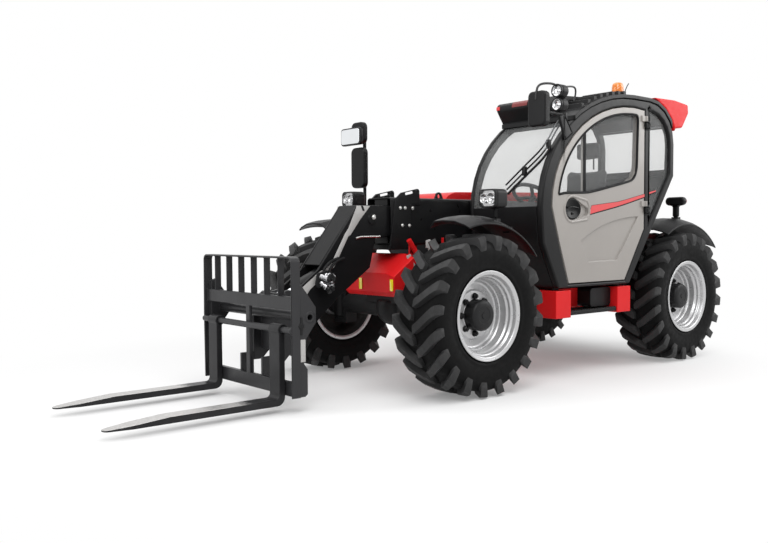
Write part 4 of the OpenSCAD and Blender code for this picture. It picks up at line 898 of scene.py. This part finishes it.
class HANDLER_OT_lamp_trim(bpy.types.Operator):
    """Adds bezels, reflectors and covers to the lamps, lenses at the tail, and turns the beacon's dome"""

    bl_idname = "handler.lamp_trim"
    bl_label = "Lamp trim"

    # head lamps: place across and height, and their two reflectors' places across and radii
    HEAD_LAMPS = ((0.90, 1.45), (-0.79, 1.50))
    HEAD_FACE = 1.1885
    REFLECTORS = ((0.034, 0.042), (-0.038, 0.036))
    # round work lamps: front of the lamp, place across and heights
    WORK_FACE = 0.529
    WORK_Y = 1.015
    WORK_Z = (2.295, 2.188)
    WORK_RING = [(0.0525, 0.0), (0.0525, 0.016), (0.050, 0.019), (0.044, 0.019), (0.042, 0.0165),
        (0.042, 0.0)]
    WORK_COVER = [(0.0425, 0.0), (0.0425, 0.002), (0.030, 0.0055), (0.015, 0.0070), (0.0, 0.0075)]
    # a reflector and its bulb, as shares of its radius and depth
    BOWL = [(0.0, 0.0), (1.0, 0.0), (1.0, 1.0), (0.93, 1.0), (0.78, 0.62), (0.52, 0.30), (0.22, 0.14),
        (0.20, 0.7), (0.12, 0.9), (0.0, 0.95)]
    # rings of a swollen cover: share of its outline and of its rise
    SWELL = ((1.0, 0.0), (0.96, 0.35), (0.82, 0.72), (0.6, 0.92), (0.3, 1.0))
    TAIL_HEIGHT = 0.033
    BEACON = (-0.51, 0.85, 2.372)
    BEACON_FOOT = [(0.0, 0.0), (0.056, 0.0), (0.056, 0.022), (0.053, 0.028), (0.0, 0.028)]
    BEACON_DOME = [(0.0, 0.028), (0.052, 0.028), (0.0525, 0.050), (0.0505, 0.080), (0.047, 0.102),
        (0.040, 0.115), (0.028, 0.1225), (0.012, 0.125), (0.0, 0.125)]

    def execute(self, context):
        housings, bowls, covers = [], [], []
        for y, z in self.HEAD_LAMPS:
            frame_ring = self.rim(rounded(0.168, 0.138, 0.034, 6), rounded(0.146, 0.116, 0.026, 6), 0.020)
            housings.append(laid(frame_ring, "x", (self.HEAD_FACE, y, z)))
            bowls.append(card(0.148, 0.118, 0.026, 0.003, 0.0, (self.HEAD_FACE, y, z)))
            for across, radius in self.REFLECTORS:
                bowls.append(laid(self.bowl(radius, 0.016), "x", (self.HEAD_FACE + 0.0025, y + across, z)))
            covers.append(laid(self.cover(0.150, 0.120, 0.028, 0.012), "x", (self.HEAD_FACE + 0.018, y, z)))
        for z in self.WORK_Z:
            housings.append(laid(turned(self.WORK_RING, 40), "x", (self.WORK_FACE, self.WORK_Y, z)))
            bowls.append(laid(self.bowl(0.0415, 0.013), "x", (self.WORK_FACE + 0.0015, self.WORK_Y, z)))
            covers.append(laid(turned(self.WORK_COVER, 40), "x", (self.WORK_FACE + 0.014, self.WORK_Y, z)))
        piece("lamp_bezels", joined(*housings), "lamp_housing", "chassis")
        piece("lamp_bowls", joined(*bowls), "reflector", "chassis")
        piece("lamp_covers", joined(*covers), "clear_lens", "chassis")
        self.tail_lamps()
        foot = laid(turned(self.BEACON_FOOT, 40), "z", self.BEACON)
        piece("beacon_foot", foot, "lamp_housing", "chassis")
        dome = laid(turned(self.BEACON_DOME, 40), "z", self.BEACON)
        piece("beacon_dome", dome, "amber_lens", "chassis", ["beacon"])
        return {"FINISHED"}

    def rim(self, outside, inside, depth):
        """A frame between two outlines with the same number of points."""
        bm = bmesh.new()
        eased = [(u * 0.97, v * 0.97) for u, v in outside]
        sections = ((outside, 0.0), (outside, depth * 0.8), (eased, depth), (inside, depth), (inside, 0.0))
        loops = [[bm.verts.new((u, v, w)) for u, v in outline] for outline, w in sections]
        return bridge(bm, loops + loops[:1])

    def bowl(self, radius, depth):
        """A shallow reflector with its bulb."""
        return turned([(radius * r, depth * d) for r, d in self.BOWL], 32)

    def cover(self, w, h, r, rise):
        """A clear cover that swells towards its middle."""
        bm = bmesh.new()
        outline = rounded(w, h, r, 6)
        loops = [[bm.verts.new((u * k, v * k, rise * t)) for u, v in outline] for k, t in self.SWELL]
        bridge(bm, loops)
        bm.faces.new(loops[-1])
        bm.faces.new(loops[0][::-1])
        return bm

    def tail_lamps(self):
        h = self.TAIL_HEIGHT
        end = [(-0.02, -h)] + arc(0.060, 0.0, h, h, -90, 90, 10) + [(-0.02, h)]
        rest = arc(-0.060, 0.0, h, h, 90, 270, 10) + [(-0.026, -h), (-0.026, h)]
        for name, outline, finish, slot in (("tail_lenses", end, "red_strip", "red_paint"),
                ("turn_lenses", rest, "amber_strip", "amber_lens")):
            pair = [laid(drawn(outline, 0.008, 0.003), "x", (-1.504, y, 1.4845), -1) for y in (0.85, -0.85)]
            piece(name, joined(*pair), finish, "chassis")


class HANDLER_OT_boom_trim(bpy.types.Operator):
    """Adds the boom's wedge strips, bolts, couplings and pipe, and the nose's markers, prop and brackets"""

    bl_idname = "handler.boom_trim"
    bl_label = "Boom trim"

    # outlines in the side view
    WEDGE = [(1.690, 1.408), (1.822, 1.408), (1.826, 1.392), (1.905, 1.232), (1.935, 1.196), (2.072, 0.966),
        (2.190, 0.905), (2.362, 0.782), (2.392, 0.700), (2.322, 0.716), (2.262, 0.786), (2.182, 0.846),
        (2.040, 0.945), (1.906, 1.172), (1.882, 1.186), (1.800, 1.290)]
    COUPLING_PLATE = [(2.060, 0.800), (2.235, 0.800), (2.250, 0.830), (2.235, 0.905), (2.150, 0.925),
        (2.070, 0.905)]
    BRACKETS = ([(1.148, 1.005), (1.205, 1.005), (1.212, 1.075), (1.236, 1.078), (1.236, 1.135),
        (1.196, 1.146), (1.176, 1.110), (1.160, 1.050)],
        [(1.330, 0.862), (1.392, 0.858), (1.430, 0.980), (1.446, 1.018), (1.404, 1.030), (1.392, 0.985),
        (1.345, 0.935)])
    BOLTS = [(1.417, 1.396), (1.367, 1.396), (1.285, 1.396), (1.395, 1.257), (1.320, 1.257)]
    # paths of the pipe and of the prop on the nose
    PIPE = [(1.835, 0.126, 1.158), (1.79, 0.129, 1.168), (1.70, 0.129, 1.170), (1.60, 0.129, 1.171)]
    PROP = [(1.392, 0.236, 1.142), (1.36, 0.236, 1.10), (1.32, 0.236, 1.045), (1.285, 0.236, 0.995)]
    # quick couplings: place along, height, tilt and lean, and the profiles of body and cap
    COUPLINGS = ((2.095, 0.880, 0.5, 0.2), (2.150, 0.884, 0.1, 0.0), (2.198, 0.880, -0.5, 0.3),
        (2.105, 0.836, 0.4, 0.7), (2.152, 0.830, 0.0, 0.9), (2.196, 0.834, -0.4, 0.7))
    COUPLING = [(0.0, 0.0), (0.021, 0.0), (0.021, 0.018), (0.0165, 0.022), (0.0165, 0.034), (0.0225, 0.037),
        (0.0225, 0.056), (0.019, 0.060), (0.0, 0.060)]
    DUST_CAP = [(0.0, 0.060), (0.017, 0.060), (0.020, 0.064), (0.020, 0.082), (0.016, 0.086), (0.0, 0.086)]

    def execute(self, context):
        for side, name in ((1, "left"), (-1, "right")):
            strip = plate(self.WEDGE, 0.003, 0.001, side * 0.1195, side)
            piece("wedge_" + name, strip, "pale_trim", "boom_tip")
            leaned = [(u + 0.028 * (v / 0.02) * 0.3, v) for u, v in rounded(0.022, 0.042, 0.010)]
            slot = laid(drawn(leaned, 0.002), "y", (1.764, side * 0.1222, 1.388), side)
            piece("wedge_slot_" + name, slot, "lamp_housing", "boom_tip")
            bolts = [laid(self.bolt(), "y", (x, side * 0.1635, z), side) for x, z in self.BOLTS]
            piece("collar_bolts_" + name, joined(*bolts), "zinc", "boom")
        self.couplings()
        pipe = tube(self.PIPE, 0.008, "zinc")
        cap = laid(self.bolt(1.4), "y", (1.662, 0.1315, 1.322))
        piece("boom_pipe", joined(pipe, cap), "zinc", "boom_tip")
        self.nose_trim()
        return {"FINISHED"}

    def bolt(self, gain=1.0):
        wide, narrow, washer = 0.0105 * gain, 0.0085 * gain, 0.014 * gain
        head = turned([(0.0, 0.003), (wide, 0.003), (wide, 0.009), (narrow, 0.011), (0.0, 0.011)], 6)
        return joined(head, turned([(0.0, 0.0), (washer, 0.0), (washer, 0.0032), (0.0, 0.0032)], 20))

    def couplings(self):
        """Quick couplings on the hose block, with the hoses that feed them."""
        bodies, caps = [], []
        for x, z, tilt, lean in self.COUPLINGS:
            turn = Matrix.Rotation(lean, 4, "X") @ Matrix.Rotation(tilt, 4, "Y")
            for profile, made in ((self.COUPLING, bodies), (self.DUST_CAP, caps)):
                made.append(laid(placed(turned(profile, 20), turn), "y", (x, 0.166, z)))
        piece("couplings", joined(*bodies), "coupling_steel", "boom_tip")
        piece("coupling_caps", joined(*caps), "lamp_housing", "boom_tip")
        base = plate(self.COUPLING_PLATE, 0.010, 0.003, 0.164)
        piece("coupling_plate", base, "boom_paint", "boom_tip")
        hoses = []
        for x in (2.11, 2.165):
            path = [(x, 0.160, 0.885), (x - 0.01, 0.150, 0.93), (x - 0.08, 0.136, 0.985),
                (x - 0.16, 0.127, 1.01)]
            hoses.append(tube(path, 0.011, "rubber_seal", 10))
        piece("coupling_hoses", joined(*hoses), "rubber_seal", "boom_tip")

    def nose_trim(self):
        """Markers on the nose's front, the red prop and the pale brackets beside it."""
        marks = [card(0.036, 0.090, 0.006, 0.004, 0.001, (1.6145, y, 0.795)) for y in (0.284, -0.097)]
        piece("nose_markers", joined(*marks), "yellow_strip", "chassis")
        prop = joined(tube(self.PROP, 0.021, "red_paint", 16))
        piece("lift_prop", prop, "red_paint", "chassis")
        brackets = [plate(outline, 0.012, 0.002, 0.262) for outline in self.BRACKETS]
        piece("nose_brackets", joined(*brackets), "pale_trim", "chassis")


class HANDLER_OT_carriage_trim(bpy.types.Operator):
    """Adds the blank plates, the latches and the step's tread"""

    bl_idname = "handler.carriage_trim"
    bl_label = "Carriage and step trim"

    SIDE = 0.5875        # outer face of the carriage's uprights
    KNOB = [(0.0, 0.0), (0.026, 0.0), (0.026, 0.012), (0.018, 0.020), (0.0, 0.022)]
    HOOK = [(-0.02, -0.012), (0.035, -0.03), (0.05, -0.005), (0.01, 0.02)]
    TOOTH = [(-0.008, -0.002), (0.008, -0.002), (0.004, 0.009), (-0.004, 0.009)]
    TOOTH_STEP = 0.022

    def execute(self, context):
        plates, latches = [], []
        for side in (1, -1):
            plates.append(card(0.062, 0.150, 0.006, 0.003, 0.001, (2.662, side * self.SIDE, 0.42), side, "y"))
            bar = drawn(rounded(0.018, 0.120, 0.006), 0.016, 0.003)
            latch = joined(bar, turned(self.KNOB, 6), drawn(self.HOOK, 0.012, 0.003))
            latches.append(laid(latch, "y", (2.670, side * self.SIDE, 0.585), side))
        piece("blank_plates", joined(*plates), "pale_trim", "carriage")
        piece("latches", joined(*latches), "lamp_housing", "carriage")
        self.tread()
        return {"FINISHED"}

    def tread(self):
        """Rows of raised teeth along both edges of the step."""
        low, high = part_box("step")
        count = int((high[0] - low[0] - 0.02) / self.TOOTH_STEP)
        teeth = []
        for y in (high[1] - 0.014, low[1] + 0.004):
            tooth = laid(drawn(self.TOOTH, 0.012, 0.0015), "y", (low[0] + 0.014, 0.0, high[2]))
            moved(tooth, (0.0, y, 0.0))
            teeth.append(row_of(tooth, count, (self.TOOTH_STEP, 0.0, 0.0), "axle_metal"))
        piece("step_teeth", joined(*teeth), "axle_metal", "chassis", shift=0.0)


class HANDLER_OT_seat_pads(bpy.types.Operator):
    """Swells the seat's cushion, back and headrest with cloth, on the seat's base"""

    bl_idname = "handler.seat_pads"
    bl_label = "Seat pads"

    STEM = [(0.0, 0.0), (0.007, 0.0), (0.007, 0.11), (0.0, 0.11)]
    BACK = [(-0.362, 1.160), (-0.282, 1.160), (-0.375, 1.715), (-0.418, 1.765), (-0.452, 1.715)]
    FRAMES = 20          # length of the cloth simulation

    def execute(self, context):
        swell = context.scene.handler_trim.pad_swell
        stems = [laid(turned(self.STEM, 12), "z", (-0.427, y, 1.75)) for y in (0.544, 0.664)]
        base = joined(block((-0.335, 0.414, 0.775), (0.045, 0.794, 1.070), 0.02, 3),
            block((-0.365, 0.394, 1.055), (0.085, 0.814, 1.085), 0.012, 2), *stems)
        piece("seat_base", base, "dark_plastic", "chassis", ["seat"])
        cushion = block((-0.370, 0.378, 1.090), (0.100, 0.830, 1.178), 0.035, 3)
        back = plate(self.BACK, 0.42, 0.03, 0.394)
        rest = block((-0.466, 0.490, 1.845), (-0.398, 0.718, 1.985), 0.025, 3)
        for name, form in (("seat_cushion", cushion), ("seat_back", back), ("seat_headrest", rest)):
            pad = self.swollen(context, form, swell)
            piece(name, pad, "seat_cover", "chassis", ["seat"], 60.0)
        return {"FINISHED"}

    def swollen(self, context, form, swell):
        """A form remeshed evenly and blown up a little as cloth."""
        obj = bpy.data.objects.new("pad", as_mesh(form))
        context.scene.collection.objects.link(obj)
        even = obj.modifiers.new("even", "REMESH")
        even.mode = "VOXEL"
        even.voxel_size = 0.006
        self.settle(obj, even)
        start = [v.co.copy() for v in obj.data.vertices]
        cover = obj.modifiers.new("cover", "CLOTH")
        cover.settings.use_pressure = True
        cover.settings.uniform_pressure_force = 4.0
        cover.settings.effector_weights.gravity = 0.0
        cover.point_cache.frame_start = 1
        cover.point_cache.frame_end = self.FRAMES
        for step in range(1, self.FRAMES + 1):
            context.scene.frame_set(step)
        self.settle(obj, cover)
        context.scene.frame_set(1)
        for vertex, before in zip(obj.data.vertices, start):
            drift = vertex.co - before
            if drift.length > swell:
                vertex.co = before + drift * (swell / drift.length)
        smooth = obj.modifiers.new("smooth", "SUBSURF")
        smooth.levels = smooth.render_levels = 1
        self.settle(obj, smooth)
        bm = bmesh.new()
        bm.from_mesh(obj.data)
        bpy.data.objects.remove(obj)
        return bm

    def settle(self, obj, modifier):
        """Turns what a modifier makes into the object's own mesh."""
        depsgraph = bpy.context.evaluated_depsgraph_get()
        mesh = bpy.data.meshes.new_from_object(obj.evaluated_get(depsgraph), depsgraph=depsgraph)
        obj.modifiers.remove(modifier)
        obj.data = mesh


class HANDLER_OT_stage(bpy.types.Operator):
    """Sets the floor, the soft light and the camera"""

    bl_idname = "handler.stage"
    bl_label = "Stage"

    # soft boxes: place, size and share of the key light's power
    BOXES = {"key_box": ((3.0, 4.5, 6.5), 5.0, 1.0), "fill_box": ((6.5, -1.5, 3.5), 4.0, 0.4),
        "rear_box": ((-5.0, 4.0, 4.0), 4.0, 0.5), "top_box": ((0.0, -1.0, 7.0), 6.0, 0.6)}
    AIM = (0.2 + SHIFT, 0.2, 0.8)
    WHITE = (1.0, 1.0, 1.0, 1.0)
    PAPER = (0.80, 0.80, 0.80, 1.0)
    ROOM_LIGHT = 0.55

    def execute(self, context):
        stage = context.scene.handler_stage
        self.floor(context)
        self.surroundings(context)
        for name, (place, size, share) in self.BOXES.items():
            self.lamp(context, name, place, size, stage.key * share)
        self.camera(context, stage)
        context.scene.view_settings.view_transform = "Standard"
        return {"FINISHED"}

    def seen(self, tree):
        """One for camera, mirror and glass rays, nothing for the light that falls on surfaces."""
        path = tree.nodes.new("ShaderNodeLightPath")
        total = path.outputs["Is Camera Ray"]
        for socket in ("Is Glossy Ray", "Is Transmission Ray"):
            add = tree.nodes.new("ShaderNodeMath")
            add.operation = "ADD"
            add.use_clamp = True
            tree.links.new(total, add.inputs[0])
            tree.links.new(path.outputs[socket], add.inputs[1])
            total = add.outputs["Value"]
        return total

    def floor(self, context):
        """White paper under the machine, which fades into the white room further out."""
        bm = bmesh.new()
        bmesh.ops.create_circle(bm, cap_ends=True, segments=96, radius=60.0)
        mesh = as_mesh(bm)
        mesh.name = "floor"
        ground = bpy.data.objects.new("floor", mesh)
        context.scene.collection.objects.link(ground)
        r = Recipe("studio_floor")
        paper = r.add("BsdfDiffuse", Color=self.PAPER)
        glow = r.add("Emission", Color=self.WHITE, Strength=1.0)
        reach = r.wire(r.add("TexCoord"), "Object", r.add("VectorMath", operation="LENGTH"), 0)
        far = r.add("MapRange", interpolation_type="SMOOTHSTEP", From_Min=1.8, From_Max=4.2, To_Min=0.2,
            To_Max=1.0)
        r.wire(reach, "Value", far, "Value")
        share = r.wire(far, "Result", r.add("Math", operation="MULTIPLY"), 0)
        r.tree.links.new(self.seen(r.tree), share.inputs[1])
        mesh.materials.append(r.finish(r.blend(share, "Value", paper, glow)))

    def surroundings(self, context):
        """A white room that gives less light than it shows."""
        world = bpy.data.worlds.new("studio")
        context.scene.world = world
        world.use_nodes = True
        tree = world.node_tree
        tree.nodes.clear()
        mixed = tree.nodes.new("ShaderNodeMixShader")
        tree.links.new(self.seen(tree), mixed.inputs["Fac"])
        for i, strength in ((1, self.ROOM_LIGHT), (2, 1.0)):
            room = tree.nodes.new("ShaderNodeBackground")
            room.inputs["Color"].default_value = self.WHITE
            room.inputs["Strength"].default_value = strength
            tree.links.new(room.outputs["Background"], mixed.inputs[i])
        out = tree.nodes.new("ShaderNodeOutputWorld")
        tree.links.new(mixed.outputs["Shader"], out.inputs["Surface"])

    def lamp(self, context, name, place, size, power):
        light = bpy.data.lights.new(name, "AREA")
        light.shape = "SQUARE"
        light.size = size
        light.energy = power
        obj = bpy.data.objects.new(name, light)
        aim = Vector(self.AIM) - Vector(place)
        obj.matrix_world = Matrix.Translation(place) @ aim.to_track_quat("-Z", "Y").to_matrix().to_4x4()
        context.scene.collection.objects.link(obj)

    def camera(self, context, stage):
        lens = bpy.data.cameras.new("camera")
        lens.sensor_fit = "HORIZONTAL"
        lens.sensor_width = 36.0
        lens.lens = stage.focal
        lens.clip_end = 200.0
        obj = bpy.data.objects.new("camera", lens)
        level = math.cos(stage.pitch)
        ahead = Vector((math.cos(stage.yaw) * level, math.sin(stage.yaw) * level, math.sin(stage.pitch)))
        right = Vector((math.sin(stage.yaw), -math.cos(stage.yaw), 0.0))
        up = right.cross(ahead)
        c, s = math.cos(stage.roll), math.sin(stage.roll)
        across, upright = c * right + s * up, c * up - s * right
        turn = Matrix((across, upright, -ahead)).transposed().to_4x4()
        obj.matrix_world = Matrix.Translation(Vector(stage.eye) + Vector((SHIFT, 0.0, 0.0))) @ turn
        context.scene.collection.objects.link(obj)
        context.scene.camera = obj


class HANDLER_PT_tools(bpy.types.Panel):
    """Sizes, colours and builders of the telescopic handler"""

    bl_idname = "HANDLER_PT_tools"
    bl_label = "Telescopic handler"
    bl_space_type = "VIEW_3D"
    bl_region_type = "UI"
    bl_category = "Handler"

    def draw(self, context):
        for group in (context.scene.handler_look, context.scene.handler_trim, context.scene.handler_stage):
            box = self.layout.box()
            for key in group.__annotations__:
                box.prop(group, key)
        for operator in OPERATORS:
            self.layout.operator(operator.bl_idname)


OPERATORS = [HANDLER_OT_finishes, HANDLER_OT_edges, HANDLER_OT_tyres, HANDLER_OT_hubs, HANDLER_OT_door_trim,
    HANDLER_OT_cab_trim, HANDLER_OT_lamp_trim, HANDLER_OT_boom_trim, HANDLER_OT_carriage_trim,
    HANDLER_OT_seat_pads, HANDLER_OT_stage]
CLASSES = [HandlerLook, HandlerTrim, HandlerStage, *OPERATORS, HANDLER_PT_tools]


def register():
    for cls in CLASSES:
        bpy.utils.register_class(cls)
    bpy.types.Scene.handler_look = bpy.props.PointerProperty(type=HandlerLook)
    bpy.types.Scene.handler_trim = bpy.props.PointerProperty(type=HandlerTrim)
    bpy.types.Scene.handler_stage = bpy.props.PointerProperty(type=HandlerStage)


def unregister():
    del bpy.types.Scene.handler_stage
    del bpy.types.Scene.handler_trim
    del bpy.types.Scene.handler_look
    for cls in reversed(CLASSES):
        bpy.utils.unregister_class(cls)


def main():
    register()
    for operator in OPERATORS:
        group, name = operator.bl_idname.split(".")
        getattr(getattr(bpy.ops, group), name)()


if __name__ == "__main__":
    main()
